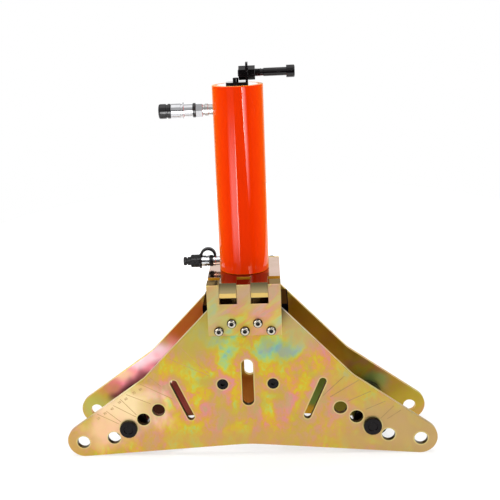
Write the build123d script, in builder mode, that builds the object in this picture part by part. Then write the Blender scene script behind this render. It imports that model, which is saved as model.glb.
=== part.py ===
"""Hydraulic pipe and busbar bender, upright on its two side plates.

X runs along the side plates, Y from the front plate to the rear one, Z up.
The origin is on the floor, midway between the plates and their feet.  All sizes are in millimetres.
"""

import os
from math import cos, radians, sin, tan

from build123d import *

# Side plates
plate_thickness = 8.0
plate_gap = 101.5
tip_x = 261.0
tip_radius = 26.0
wing_angle = 35.5
kink_x = 160.4
kink_radius = 40.0
shoulder_angle = 46.3
underside_angle = 4.1
underside_radius = 250.0

# Holes and slots in both side plates
pin_hole_diameter = 20.0
end_hole_outset = 1.0
end_hole_z = 24.4
row_inset = 48.2
row_z = 31.4
row_pitch = 28.8
row_angle = 32.5
row_holes = 4
pin_in_row = 1
window_width = 17.5
window_length = 75.4
window_z = 121.8
gauge_slot_width = 11.0
gauge_slot_reach = 60.9
gauge_slot_lean = 23.1
gauge_slot_x = 101.85
gauge_slot_z = 93.7

# Guide strips on the inner faces, one countersunk screw each
strip_x = 38.5
strip_z = 119.4
strip_width = 24.0
strip_length = 96.0
strip_thickness = 12.0
strip_screw_diameter = 10.0
strip_screw_head = 17.0
strip_screw_socket = 6.0
strip_screw_socket_depth = 3.0
strip_screw_end_gap = 2.0
countersink_angle = 90.0

# Bending pins and rollers
pin_clearance = 0.05
pin_head_diameter = 27.5
pin_head_height = 5.0
pin_head_gap = 0.3
pin_dish_diameter = 15.0
pin_dish_depth = 1.5
pin_dish_taper = 30.0
pin_tail = 24.0
pin_clip_hole = 5.0
pin_chamfer = 2.0
roller_diameter = 56.0
roller_length = 88.0
roller_chamfer = 1.5
bush_diameter = 28.0
bush_length = 28.0
bush_collar_diameter = 32.0
roller_side_gap = 0.35

# Cylinder flange, hinge bracket and hinge pin
head_width = 108.0
flange_top = 287.0
flange_thickness = 20.0
flange_front_gap = 5.0
bracket_thickness = 25.0
bracket_height = 78.8
bracket_chamfer = 0.8
notch_depth = 29.5
plate_top_drop = 1.5
tongue_width = 25.0
tongue_x = 23.0
tongue_side_gap = 0.3
tongue_recess = 0.5
tongue_chamfer_run = 8.8
tongue_chamfer_drop = 12.9
hinge_pin_diameter = 12.0
hinge_pin_setback = 9.5
hinge_pin_gap = 0.05
bracket_screw_diameter = 8.0
bracket_screw_head = 14.4
bracket_screw_head_height = 4.4
bracket_screw_dome = 3.0
bracket_screw_socket = 5.0
bracket_screw_socket_depth = 2.6
bracket_screw_pitch = 19.2
bracket_screw_low = 8.0
bracket_screw_high = 19.8

# Rear plate screws into the flange
tab_step = 1.0
rear_screw_diameter = 10.0
rear_screw_head = 16.0
rear_screw_head_height = 10.0
rear_screw_socket = 8.0
rear_screw_socket_depth = 5.0
rear_screw_grip = 14.0
rear_screw_inner_x = 15.0
rear_screw_outer_x = 42.0

# Cylinder
barrel_diameter = 75.0
barrel_bore = 60.0
barrel_length = 280.0
spigot_diameter = 68.0
spigot_length = 18.0
barrel_rim_chamfer = 0.8
cap_thickness = 22.0
cap_seal_height = 4.0
cap_seal_depth = 3.0
cap_seal_rise = 8.0
gland_length = 22.0
gland_lip_diameter = 66.0
wiper_height = 6.0
wiper_depth = 4.0
rod_seal_rise = 9.0
rod_seal_height = 7.0
rod_seal_depth = 5.0
gland_seal_rise = 17.0
gland_seal_height = 4.0
gland_seal_depth = 2.5
lower_port_height = 12.9
upper_port_drop = 35.3
port_thread = 14.0
port_bore = 6.0
port_setback = 0.2

# Piston, rod and former
stroke = 150.0
stop_gap = 0.3
slide_clearance = 0.05
piston_clearance = 0.1
piston_length = 45.0
piston_nose_diameter = 40.0
piston_nose_length = 22.4
piston_seal_rise = 28.0
piston_seal_height = 8.0
piston_seal_depth = 5.0
wear_ring_rise = 8.0
wear_ring_height = 10.0
wear_ring_depth = 2.5
stop_tube_diameter = 56.0
rod_diameter = 45.0
rod_top_spigot = 30.0
rod_top_spigot_length = 35.0
rod_foot_spigot = 28.0
rod_foot_spigot_length = 30.0
rod_chamfer = 1.0
former_drop = 28.2
former_width = 130.0
former_depth = 70.0
former_shoulder_height = 18.0
former_height = 90.0
former_nose_radius = 12.0
former_edge_chamfer = 1.5
former_screw_diameter = 8.0
former_screw_drop = 15.0
former_screw_length = 14.0
former_screw_socket = 4.0
former_screw_socket_depth = 4.0

# Stop bracket, stop bolt and nuts on the top cap
stop_left_x = -16.3
stop_right_x = 16.2
stop_width = 25.0
stop_sheet = 3.5
stop_leg_height = 31.7
stop_corner = 5.0
stop_screw_x = -2.1
stop_screw_diameter = 5.0
stop_screw_head = 8.5
stop_screw_head_height = 6.0
stop_screw_socket = 4.0
stop_screw_socket_depth = 3.0
stop_screw_grip = 12.0
bolt_height = 15.8
bolt_diameter = 12.0
bolt_length = 70.0
bolt_head = 18.0
bolt_head_height = 12.0
bolt_socket = 10.0
bolt_socket_depth = 6.0
bolt_chamfer = 1.0
nut_across_flats = 18.0
nut_thickness = 10.2
bolt_end_inset = 1.0

# Upper coupler, measured outwards from the barrel's wall
adaptor_neck = 15.7
adaptor_ring = 18.0
adaptor_ring_start = 6.2
adaptor_ring_width = 5.3
adaptor_stub = 12.0
adaptor_stub_length = 8.0
adaptor_length = 14.4
coupler_hex = 19.0
coupler_hex_length = 10.4
bumper_diameter = 21.4
bumper_width = 4.4
bumper_seat = 17.0
coupler_body = 18.6
coupler_body_length = 32.6
sleeve_length = 20.0
sleeve_diameter = 22.0
sleeve_waist = 20.4
sleeve_grip_diameter = 25.0
sleeve_grip_width = 2.2
sleeve_nose_fillet = 1.5
plug_bore = 10.0
plug_shank_length = 14.0
plug_clearance = 0.05
plug_gap = 0.3
plug_diameter = 22.0
plug_length = 17.6
plug_groove_depth = 1.2
plug_groove_width = 2.5
plug_groove_start = 4.0

# Lower coupler and its dust cap, measured outwards from the barrel's wall
lower_neck = 14.0
lower_neck_length = 6.0
lower_collar = 16.0
lower_collar_width = 3.9
loop_seat = 13.0
loop_seat_width = 6.1
lower_body = 17.0
lower_body_length = 11.6
lower_nose = 14.8
lower_nose_length = 14.0
lower_bore = 7.0
cap_gap = 0.3
cap_clearance = 0.1
cap_rim_diameter = 23.4
cap_rim_width = 3.1
cap_body_diameter = 19.8
cap_body_length = 16.4
cap_knob_diameter = 13.2
cap_knob_length = 11.5
cap_waist_diameter = 9.5
cap_waist_start = 5.0
cap_waist_width = 1.8
loop_diameter = 17.5
strap_thickness = 4.0
strap_width = 9.0
strap_overhang = 5.4
strap_inset = 0.8
strap_root = 1.5

# Places worked out from the sizes above
plate_inner = plate_gap / 2
plate_outer = plate_inner + plate_thickness
bracket_front = plate_outer + bracket_thickness
bracket_bottom = flange_top - bracket_height
notch_floor = flange_top - notch_depth
plate_top = notch_floor - plate_top_drop
tab_top = flange_top - tab_step
flange_bottom = flange_top - flange_thickness
flange_front = plate_inner - flange_front_gap
hinge_y = -(plate_outer + hinge_pin_setback)
hinge_z = flange_top - flange_thickness / 2
tongue_front = bracket_front - tongue_recess
tongue_top_front = tongue_front - tongue_chamfer_run
notch_width = tongue_width + 2 * tongue_side_gap

wing_slope = tan(radians(wing_angle))
shoulder_slope = tan(radians(shoulder_angle))
tip_upper = (
    tip_x + tip_radius * sin(radians(wing_angle)),
    tip_radius + tip_radius * cos(radians(wing_angle)),
)
tip_lower = (
    tip_x - tip_radius * sin(radians(underside_angle)),
    tip_radius - tip_radius * cos(radians(underside_angle)),
)
kink_z = tip_upper[1] + (tip_upper[0] - kink_x) * wing_slope
plate_top_x = kink_x - (plate_top - kink_z) / shoulder_slope
apex_z = tip_lower[1] + tip_lower[0] * tan(radians(underside_angle))

end_hole_x = tip_x + end_hole_outset
row_x = tip_x - row_inset
row_points = [
    (
        row_x - place * row_pitch * cos(radians(row_angle)),
        row_z + place * row_pitch * sin(radians(row_angle)),
    )
    for place in range(row_holes)
]
pin_x, pin_z = row_points[pin_in_row]
hole_points = [
    (side * x, z) for side in (-1, 1) for x, z in [(end_hole_x, end_hole_z), *row_points]
]
strip_points = [(-strip_x, strip_z), (strip_x, strip_z)]
countersink_depth = (strip_screw_head - strip_screw_diameter) / 2 / tan(radians(countersink_angle / 2))
bracket_screw_points = [
    (
        place * bracket_screw_pitch,
        bracket_bottom + (bracket_screw_low if place % 2 == 0 else bracket_screw_high),
    )
    for place in (-2, -1, 0, 1, 2)
]
rear_screw_points = [
    (side * x, hinge_z) for side in (-1, 1) for x in (rear_screw_inner_x, rear_screw_outer_x)
]

pin_diameter = pin_hole_diameter - 2 * pin_clearance
collar_thickness = (plate_gap - roller_length) / 2 - roller_side_gap

barrel_bottom = flange_top - spigot_length
barrel_top = flange_top + barrel_length
cap_bottom = barrel_top - cap_thickness
gland_top = barrel_bottom + gland_length
rod_bore = rod_diameter + 2 * slide_clearance
piston_top = cap_bottom - stop_gap - piston_nose_length
piston_bottom = piston_top - piston_length
stop_tube_bottom = gland_top + stop_gap + stroke
piston_diameter = barrel_bore - 2 * piston_clearance
seal_diameter = barrel_bore - 2 * slide_clearance
former_top = flange_bottom - former_drop
former_screw_z = former_top - former_screw_drop
barrel_radius = barrel_diameter / 2
lower_port_z = flange_top + lower_port_height
upper_port_z = barrel_top - upper_port_drop
bolt_z = barrel_top + bolt_height

corner_tolerance = 0.01
front_face = Plane.XZ.offset(plate_outer)
bracket_face = Plane.XZ.offset(bracket_front)


def side_plate_outline():
    """Draws the closed outline of a side plate in the sketch that is open."""
    with BuildLine() as outline:
        Line((0, apex_z), tip_lower)
        ThreePointArc(tip_lower, (tip_x + tip_radius, tip_radius), tip_upper)
        Line(tip_upper, (kink_x, kink_z))
        Line((kink_x, kink_z), (plate_top_x, plate_top))
        Line((plate_top_x, plate_top), (0, plate_top))
        mirror(about=Plane.YZ)
    make_face(outline.edges())


def round_plate_corners(outline):
    """Rounds the two kinks of a plate's upper edge and the apex of its underside."""
    fillet(outline.vertices().filter_by(lambda v: abs(abs(v.X) - kink_x) < corner_tolerance), kink_radius)
    underside = outline.vertices().filter_by(lambda v: v.Y < kink_z)
    fillet(underside.filter_by(lambda v: abs(v.X) < corner_tolerance), underside_radius)


def side_plate_openings():
    """Cuts the round holes, the window and the two gauge slots from the sketch that is open."""
    with Locations(*hole_points):
        Circle(pin_hole_diameter / 2, mode=Mode.SUBTRACT)
    with Locations((0, window_z)):
        SlotOverall(window_length, window_width, rotation=90, mode=Mode.SUBTRACT)
    for side in (-1, 1):
        with Locations((side * gauge_slot_x, gauge_slot_z)):
            SlotCenterToCenter(
                gauge_slot_reach,
                gauge_slot_width,
                rotation=90 - side * gauge_slot_lean,
                mode=Mode.SUBTRACT,
            )


def section(inner, outer, low, high, mode=Mode.ADD):
    """Draws a rectangle between two radii and two heights in the sketch that is open."""
    with Locations(((inner + outer) / 2, (low + high) / 2)):
        Rectangle(outer - inner, high - low, mode=mode)


def turned_step(start, end, radius, axis_z, mode=Mode.ADD):
    """Draws the half section of one step of a piece turned about a coupler's axis."""
    with Locations(((start + end) / 2, axis_z + radius / 2)):
        Rectangle(abs(end - start), radius, mode=mode)


# Front side plate
with BuildPart() as front_plate:
    with BuildSketch(Plane.XZ.offset(plate_inner)) as front_outline:
        side_plate_outline()
        round_plate_corners(front_outline)
        side_plate_openings()
        with Locations(*bracket_screw_points):
            Circle(bracket_screw_diameter / 2, mode=Mode.SUBTRACT)
    extrude(amount=plate_thickness)
    strip_holes = [Plane((x, -plate_outer, z), (1, 0, 0), (0, -1, 0)) for x, z in strip_points]
    with Locations(*strip_holes):
        CounterSinkHole(strip_screw_diameter / 2, strip_screw_head / 2, counter_sink_angle=countersink_angle)
front_plate.part.label = "front_plate"

# Rear side plate, with the tab that the flange bears on
with BuildPart() as rear_plate:
    with BuildSketch(Plane.XZ.offset(-plate_outer)) as rear_outline:
        side_plate_outline()
        round_plate_corners(rear_outline)
        section(-head_width / 2, head_width / 2, bracket_bottom, tab_top)
        side_plate_openings()
        with Locations(*rear_screw_points):
            Circle(rear_screw_diameter / 2, mode=Mode.SUBTRACT)
    extrude(amount=plate_thickness)
    strip_holes = [Plane((x, plate_outer, z), (1, 0, 0), (0, 1, 0)) for x, z in strip_points]
    with Locations(*strip_holes):
        CounterSinkHole(strip_screw_diameter / 2, strip_screw_head / 2, counter_sink_angle=countersink_angle)
rear_plate.part.label = "rear_plate"

# Guide strips and their screws, a front pair and a rear pair
with BuildPart() as guide_strips:
    with BuildSketch(Plane.XZ.offset(plate_inner - strip_thickness)):
        with Locations(*strip_points):
            RectangleRounded(strip_width, strip_length, strip_width / 4)
            Circle(strip_screw_diameter / 2, mode=Mode.SUBTRACT)
    extrude(amount=strip_thickness)
    mirror(about=Plane.XZ)
guide_strips.part.label = "guide_strips"

with BuildPart() as guide_strip_screws:
    with BuildSketch(front_face):
        with Locations(*strip_points):
            Circle(strip_screw_diameter / 2)
    extrude(amount=strip_screw_end_gap - plate_thickness - strip_thickness)
    with BuildSketch(front_face):
        with Locations(*strip_points):
            Circle(strip_screw_head / 2)
    extrude(amount=-countersink_depth, taper=countersink_angle / 2)
    with BuildSketch(front_face):
        with Locations(*strip_points):
            RegularPolygon(strip_screw_socket / 2, 6, major_radius=False)
    extrude(amount=-strip_screw_socket_depth, mode=Mode.SUBTRACT)
    mirror(about=Plane.XZ)
guide_strip_screws.part.label = "guide_strip_screws"

# Bending pins, rollers and roller bushes, left and right
bending_pins = {}
rollers = {}
roller_bushes = {}
for hand, side in (("left", -1), ("right", 1)):
    with BuildPart() as pin:
        with BuildSketch(front_face.offset(pin_head_gap)):
            with Locations((side * pin_x, pin_z)):
                Circle(pin_head_diameter / 2)
        extrude(amount=pin_head_height)
        fillet(pin.faces().sort_by(Axis.Y)[0].edges(), pin_chamfer / 2)
        with BuildSketch(front_face.offset(pin_head_gap + pin_head_height)):
            with Locations((side * pin_x, pin_z)):
                Circle(pin_dish_diameter / 2)
        extrude(amount=-pin_dish_depth, taper=pin_dish_taper, mode=Mode.SUBTRACT)
        with BuildSketch(front_face.offset(pin_head_gap)):
            with Locations((side * pin_x, pin_z)):
                Circle(pin_diameter / 2)
        extrude(amount=-(pin_head_gap + 2 * plate_outer + pin_tail))
        chamfer(pin.faces().sort_by(Axis.Y)[-1].edges(), pin_chamfer)
        with BuildSketch(Plane.YZ.offset(side * pin_x - pin_diameter)):
            with Locations((plate_outer + pin_tail / 2, pin_z)):
                Circle(pin_clip_hole / 2)
        extrude(amount=2 * pin_diameter, mode=Mode.SUBTRACT)
    pin.part.label = f"bending_pin_{hand}"
    bending_pins[hand] = pin.part

    with BuildPart() as roller:
        with BuildSketch(Plane.XZ.offset(-roller_length / 2)):
            with Locations((side * pin_x, pin_z)):
                Circle(roller_diameter / 2)
        extrude(amount=roller_length)
        chamfer(roller.edges().filter_by(GeomType.CIRCLE), roller_chamfer)
        with BuildSketch(Plane.XZ.offset(-roller_length / 2)):
            with Locations((side * pin_x, pin_z)):
                Circle(bush_diameter / 2)
        extrude(amount=roller_length, mode=Mode.SUBTRACT)
    roller.part.label = f"roller_{hand}"
    rollers[hand] = roller.part

    with BuildPart() as bushes:
        with BuildSketch(Plane.XZ.offset(roller_length / 2 - bush_length)):
            with Locations((side * pin_x, pin_z)):
                Circle(bush_diameter / 2)
        extrude(amount=bush_length)
        with BuildSketch(Plane.XZ.offset(roller_length / 2)):
            with Locations((side * pin_x, pin_z)):
                Circle(bush_collar_diameter / 2)
        extrude(amount=collar_thickness)
        with BuildSketch(Plane.XZ.offset(roller_length / 2 - bush_length)):
            with Locations((side * pin_x, pin_z)):
                Circle(pin_hole_diameter / 2)
        extrude(amount=bush_length + collar_thickness, mode=Mode.SUBTRACT)
        mirror(about=Plane.XZ)
    bushes.part.label = f"roller_bushes_{hand}"
    roller_bushes[hand] = bushes.part

# Hinge bracket with its three posts
with BuildPart() as hinge_bracket:
    with BuildSketch(bracket_face):
        section(-head_width / 2, head_width / 2, bracket_bottom, flange_top)
        for side in (-1, 1):
            with Locations((side * tongue_x, flange_top - notch_depth / 2)):
                Rectangle(notch_width, notch_depth, mode=Mode.SUBTRACT)
        with Locations(*bracket_screw_points):
            Circle(bracket_screw_diameter / 2, mode=Mode.SUBTRACT)
    extrude(amount=-bracket_thickness)
    chamfer(
        hinge_bracket.faces().sort_by(Axis.Y)[0].edges().filter_by(GeomType.LINE),
        bracket_chamfer,
    )
    with BuildSketch(Plane.YZ.offset(-head_width / 2)):
        with Locations((hinge_y, hinge_z)):
            Circle(hinge_pin_diameter / 2)
    extrude(amount=head_width, mode=Mode.SUBTRACT)
hinge_bracket.part.label = "hinge_bracket"

# Button-head screws of the hinge bracket
with BuildPart() as bracket_screws:
    with BuildSketch(bracket_face):
        with Locations(*bracket_screw_points):
            Circle(bracket_screw_head / 2)
    extrude(amount=bracket_screw_head_height)
    fillet(bracket_screws.faces().group_by(Axis.Y)[0].edges(), bracket_screw_dome)
    with BuildSketch(bracket_face):
        with Locations(*bracket_screw_points):
            Circle(bracket_screw_diameter / 2)
    extrude(amount=-(bracket_thickness + plate_thickness))
    with BuildSketch(bracket_face.offset(bracket_screw_head_height)):
        with Locations(*bracket_screw_points):
            RegularPolygon(bracket_screw_socket / 2, 6, major_radius=False)
    extrude(amount=-bracket_screw_socket_depth, mode=Mode.SUBTRACT)
bracket_screws.part.label = "bracket_screws"

# Hinge pin through posts and tongues
with BuildPart() as hinge_pin:
    with BuildSketch(Plane.YZ.offset(-head_width / 2)):
        with Locations((hinge_y, hinge_z)):
            Circle(hinge_pin_diameter / 2)
    extrude(amount=head_width)
    chamfer(hinge_pin.edges().filter_by(GeomType.CIRCLE), bracket_chamfer)
hinge_pin.part.label = "hinge_pin"

# Cylinder flange with its two tongues
with BuildPart() as cylinder_flange:
    with BuildSketch(Plane.XY.offset(flange_bottom)):
        section(-head_width / 2, head_width / 2, -flange_front, plate_inner)
        for side in (-1, 1):
            section(
                side * tongue_x - tongue_width / 2,
                side * tongue_x + tongue_width / 2,
                -tongue_front,
                0,
            )
        Circle(spigot_diameter / 2, mode=Mode.SUBTRACT)
    extrude(amount=flange_thickness)
    with BuildSketch(Plane.YZ.offset(-head_width / 2)):
        with BuildLine():
            Polyline(
                (-tongue_front, flange_top),
                (-tongue_top_front, flange_top),
                (-tongue_front, flange_top - tongue_chamfer_drop),
                close=True,
            )
        make_face()
    extrude(amount=head_width, mode=Mode.SUBTRACT)
    with BuildSketch(Plane.YZ.offset(-head_width / 2)):
        with Locations((hinge_y, hinge_z)):
            Circle(hinge_pin_diameter / 2 + hinge_pin_gap)
    extrude(amount=head_width, mode=Mode.SUBTRACT)
    with BuildSketch(Plane.XZ.offset(-plate_inner)):
        with Locations(*rear_screw_points):
            Circle(rear_screw_diameter / 2)
    extrude(amount=rear_screw_grip, mode=Mode.SUBTRACT)
cylinder_flange.part.label = "cylinder_flange"

# Cap screws that hold the rear plate's tab to the flange
with BuildPart() as rear_screws:
    with BuildSketch(Plane.XZ.offset(-plate_outer - rear_screw_head_height)):
        with Locations(*rear_screw_points):
            Circle(rear_screw_head / 2)
    extrude(amount=rear_screw_head_height)
    chamfer(rear_screws.faces().group_by(Axis.Y)[-1].edges(), bracket_chamfer)
    with BuildSketch(Plane.XZ.offset(-plate_outer)):
        with Locations(*rear_screw_points):
            Circle(rear_screw_diameter / 2)
    extrude(amount=plate_thickness + rear_screw_grip)
    with BuildSketch(Plane.XZ.offset(-plate_outer - rear_screw_head_height)):
        with Locations(*rear_screw_points):
            RegularPolygon(rear_screw_socket / 2, 6, major_radius=False)
    extrude(amount=rear_screw_socket_depth, mode=Mode.SUBTRACT)
rear_screws.part.label = "rear_screws"

# Cylinder barrel with its two ports
with BuildPart() as barrel:
    with BuildSketch(Plane.XZ):
        section(barrel_bore / 2, spigot_diameter / 2, barrel_bottom, flange_top)
        section(barrel_bore / 2, barrel_radius, flange_top, barrel_top)
    revolve(axis=Axis.Z)
    chamfer(
        barrel.edges().filter_by(GeomType.CIRCLE).group_by(Axis.Z)[-1].sort_by(SortBy.RADIUS)[-1],
        barrel_rim_chamfer,
    )
    with BuildSketch(Plane.YZ.offset(-barrel_radius)):
        with Locations((0, lower_port_z), (0, upper_port_z)):
            Circle(port_thread / 2)
    extrude(amount=barrel_radius, mode=Mode.SUBTRACT)
barrel.part.label = "barrel"

# Top cap and its ring seal
cap_seal_bottom = cap_bottom + cap_seal_rise
with BuildPart() as top_cap:
    with BuildSketch(Plane.XZ):
        section(0, barrel_bore / 2, cap_bottom, barrel_top)
        section(
            barrel_bore / 2 - cap_seal_depth,
            barrel_bore / 2,
            cap_seal_bottom,
            cap_seal_bottom + cap_seal_height,
            mode=Mode.SUBTRACT,
        )
    revolve(axis=Axis.Z)
    with BuildSketch(Plane.XY.offset(barrel_top)):
        with Locations((stop_screw_x, 0)):
            Circle(stop_screw_diameter / 2)
    extrude(amount=-stop_screw_grip, mode=Mode.SUBTRACT)
top_cap.part.label = "top_cap"

with BuildPart() as top_cap_seal:
    with BuildSketch(Plane.XZ):
        section(
            barrel_bore / 2 - cap_seal_depth,
            barrel_bore / 2,
            cap_seal_bottom,
            cap_seal_bottom + cap_seal_height,
        )
    revolve(axis=Axis.Z)
top_cap_seal.part.label = "top_cap_seal"

# Gland that guides the rod, with its wiper, rod seal and ring seal
wiper_top = flange_bottom + wiper_height
rod_seal_bottom = flange_bottom + rod_seal_rise
gland_seal_bottom = flange_bottom + gland_seal_rise
with BuildPart() as gland:
    with BuildSketch(Plane.XZ):
        section(rod_bore / 2, gland_lip_diameter / 2, flange_bottom, barrel_bottom)
        section(rod_bore / 2, barrel_bore / 2, barrel_bottom, gland_top)
        section(rod_bore / 2, rod_bore / 2 + wiper_depth, flange_bottom, wiper_top, mode=Mode.SUBTRACT)
        section(
            rod_bore / 2,
            rod_bore / 2 + rod_seal_depth,
            rod_seal_bottom,
            rod_seal_bottom + rod_seal_height,
            mode=Mode.SUBTRACT,
        )
        section(
            barrel_bore / 2 - gland_seal_depth,
            barrel_bore / 2,
            gland_seal_bottom,
            gland_seal_bottom + gland_seal_height,
            mode=Mode.SUBTRACT,
        )
    revolve(axis=Axis.Z)
gland.part.label = "gland"

with BuildPart() as wiper:
    with BuildSketch(Plane.XZ):
        section(rod_bore / 2, rod_bore / 2 + wiper_depth, flange_bottom, wiper_top)
    revolve(axis=Axis.Z)
wiper.part.label = "wiper"

with BuildPart() as rod_seal:
    with BuildSketch(Plane.XZ):
        section(
            rod_bore / 2,
            rod_bore / 2 + rod_seal_depth,
            rod_seal_bottom,
            rod_seal_bottom + rod_seal_height,
        )
    revolve(axis=Axis.Z)
rod_seal.part.label = "rod_seal"

with BuildPart() as gland_seal:
    with BuildSketch(Plane.XZ):
        section(
            barrel_bore / 2 - gland_seal_depth,
            barrel_bore / 2,
            gland_seal_bottom,
            gland_seal_bottom + gland_seal_height,
        )
    revolve(axis=Axis.Z)
gland_seal.part.label = "gland_seal"

# Piston with its seal and wear ring
piston_seal_bottom = piston_bottom + piston_seal_rise
wear_ring_bottom = piston_bottom + wear_ring_rise
with BuildPart() as piston:
    with BuildSketch(Plane.XZ):
        section(0, piston_diameter / 2, piston_bottom, piston_top)
        section(0, piston_nose_diameter / 2, piston_top, piston_top + piston_nose_length)
        section(
            0,
            rod_top_spigot / 2,
            piston_bottom,
            piston_bottom + rod_top_spigot_length,
            mode=Mode.SUBTRACT,
        )
        section(
            piston_diameter / 2 - piston_seal_depth,
            piston_diameter / 2,
            piston_seal_bottom,
            piston_seal_bottom + piston_seal_height,
            mode=Mode.SUBTRACT,
        )
        section(
            piston_diameter / 2 - wear_ring_depth,
            piston_diameter / 2,
            wear_ring_bottom,
            wear_ring_bottom + wear_ring_height,
            mode=Mode.SUBTRACT,
        )
    revolve(axis=Axis.Z)
piston.part.label = "piston"

with BuildPart() as piston_seal:
    with BuildSketch(Plane.XZ):
        section(
            piston_diameter / 2 - piston_seal_depth,
            seal_diameter / 2,
            piston_seal_bottom,
            piston_seal_bottom + piston_seal_height,
        )
    revolve(axis=Axis.Z)
piston_seal.part.label = "piston_seal"

with BuildPart() as wear_ring:
    with BuildSketch(Plane.XZ):
        section(
            piston_diameter / 2 - wear_ring_depth,
            seal_diameter / 2,
            wear_ring_bottom,
            wear_ring_bottom + wear_ring_height,
        )
    revolve(axis=Axis.Z)
wear_ring.part.label = "wear_ring"

# Stop tube that sets the stroke, and the piston rod
with BuildPart() as stop_tube:
    with BuildSketch(Plane.XZ):
        section(rod_diameter / 2, stop_tube_diameter / 2, stop_tube_bottom, piston_bottom)
    revolve(axis=Axis.Z)
stop_tube.part.label = "stop_tube"

with BuildPart() as piston_rod:
    with BuildSketch(Plane.XZ):
        section(0, rod_diameter / 2, former_top, piston_bottom)
        section(0, rod_top_spigot / 2, piston_bottom, piston_bottom + rod_top_spigot_length)
        section(0, rod_foot_spigot / 2, former_top - rod_foot_spigot_length, former_top)
    revolve(axis=Axis.Z)
    chamfer(piston_rod.faces().sort_by(Axis.Z)[0].edges(), rod_chamfer)
piston_rod.part.label = "piston_rod"

# Former, a wedge with a rounded nose, and its set screw
former_front = former_depth / 2
former_screw_tip = rod_foot_spigot / 2 + slide_clearance
former_screw_mouth = former_screw_tip + former_screw_length
with BuildPart() as former:
    with BuildSketch(Plane.XZ.offset(-former_front)) as former_outline:
        with BuildLine():
            Polyline(
                (-former_width / 2, former_top),
                (former_width / 2, former_top),
                (former_width / 2, former_top - former_shoulder_height),
                (0, former_top - former_height),
                (-former_width / 2, former_top - former_shoulder_height),
                close=True,
            )
        make_face()
        fillet(former_outline.vertices().sort_by(Axis.Y)[0], former_nose_radius)
    extrude(amount=former_depth)
    chamfer(former.faces().sort_by(Axis.Z)[-1].edges(), former_edge_chamfer)
    with BuildSketch(Plane.XY.offset(former_top)):
        Circle(rod_foot_spigot / 2)
    extrude(amount=-rod_foot_spigot_length, mode=Mode.SUBTRACT)
    with BuildSketch(Plane.XZ):
        with Locations((0, former_screw_z)):
            Circle(former_screw_diameter / 2)
    extrude(amount=former_front, mode=Mode.SUBTRACT)
former.part.label = "former"

with BuildPart() as former_screw:
    with BuildSketch(Plane.XZ.offset(former_screw_tip)):
        with Locations((0, former_screw_z)):
            Circle(former_screw_diameter / 2)
    extrude(amount=former_screw_length)
    with BuildSketch(Plane.XZ.offset(former_screw_mouth)):
        with Locations((0, former_screw_z)):
            RegularPolygon(former_screw_socket / 2, 6, major_radius=False)
    extrude(amount=-former_screw_socket_depth, mode=Mode.SUBTRACT)
former_screw.part.label = "former_screw"

# Stop bracket, an angle on the top cap
with BuildPart() as stop_bracket:
    with BuildSketch(Plane.XZ.offset(-stop_width / 2)):
        section(stop_left_x, stop_right_x, barrel_top, barrel_top + stop_sheet)
        section(stop_right_x - stop_sheet, stop_right_x, barrel_top, barrel_top + stop_leg_height)
    extrude(amount=stop_width)
    fillet(stop_bracket.faces().sort_by(Axis.Z)[-1].edges().filter_by(Axis.X), stop_corner)
    fillet(stop_bracket.faces().sort_by(Axis.X)[0].edges().filter_by(Axis.Z), stop_corner)
    with BuildSketch(Plane.XY.offset(barrel_top)):
        with Locations((stop_screw_x, 0)):
            Circle(stop_screw_diameter / 2)
    extrude(amount=stop_sheet, mode=Mode.SUBTRACT)
    with BuildSketch(Plane.YZ.offset(stop_right_x - stop_sheet)):
        with Locations((0, bolt_z)):
            Circle(bolt_diameter / 2)
    extrude(amount=stop_sheet, mode=Mode.SUBTRACT)
stop_bracket.part.label = "stop_bracket"

with BuildPart() as stop_bracket_screw:
    with BuildSketch(Plane.XY.offset(barrel_top + stop_sheet)):
        with Locations((stop_screw_x, 0)):
            Circle(stop_screw_head / 2)
    extrude(amount=stop_screw_head_height)
    chamfer(stop_bracket_screw.faces().sort_by(Axis.Z)[-1].edges(), bracket_chamfer)
    with BuildSketch(Plane.XY.offset(barrel_top + stop_sheet)):
        with Locations((stop_screw_x, 0)):
            Circle(stop_screw_diameter / 2)
    extrude(amount=-(stop_sheet + stop_screw_grip))
    with BuildSketch(Plane.XY.offset(barrel_top + stop_sheet + stop_screw_head_height)):
        with Locations((stop_screw_x, 0)):
            RegularPolygon(stop_screw_socket / 2, 6, major_radius=False)
    extrude(amount=-stop_screw_socket_depth, mode=Mode.SUBTRACT)
stop_bracket_screw.part.label = "stop_bracket_screw"

# Stop bolt and its two nuts, either side of the bracket's leg
bolt_start = stop_right_x - stop_sheet - nut_thickness - bolt_end_inset
bolt_shoulder = bolt_start + bolt_length
with BuildPart() as stop_bolt:
    with BuildSketch(Plane.YZ.offset(bolt_start)):
        with Locations((0, bolt_z)):
            Circle(bolt_diameter / 2)
    extrude(amount=bolt_length)
    chamfer(stop_bolt.faces().sort_by(Axis.X)[0].edges(), bolt_chamfer)
    with BuildSketch(Plane.YZ.offset(bolt_shoulder)):
        with Locations((0, bolt_z)):
            Circle(bolt_head / 2)
    extrude(amount=bolt_head_height)
    chamfer(stop_bolt.faces().sort_by(Axis.X)[-1].edges(), bolt_chamfer)
    with BuildSketch(Plane.YZ.offset(bolt_shoulder + bolt_head_height)):
        with Locations((0, bolt_z)):
            RegularPolygon(bolt_socket / 2, 6, major_radius=False)
    extrude(amount=-bolt_socket_depth, mode=Mode.SUBTRACT)
stop_bolt.part.label = "stop_bolt"

with BuildPart() as stop_nuts:
    for start in (stop_right_x - stop_sheet - nut_thickness, stop_right_x):
        with BuildSketch(Plane.YZ.offset(start)):
            with Locations((0, bolt_z)):
                RegularPolygon(nut_across_flats / 2, 6, major_radius=False, rotation=30)
                Circle(bolt_diameter / 2, mode=Mode.SUBTRACT)
        extrude(amount=nut_thickness)
stop_nuts.part.label = "stop_nuts"

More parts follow.
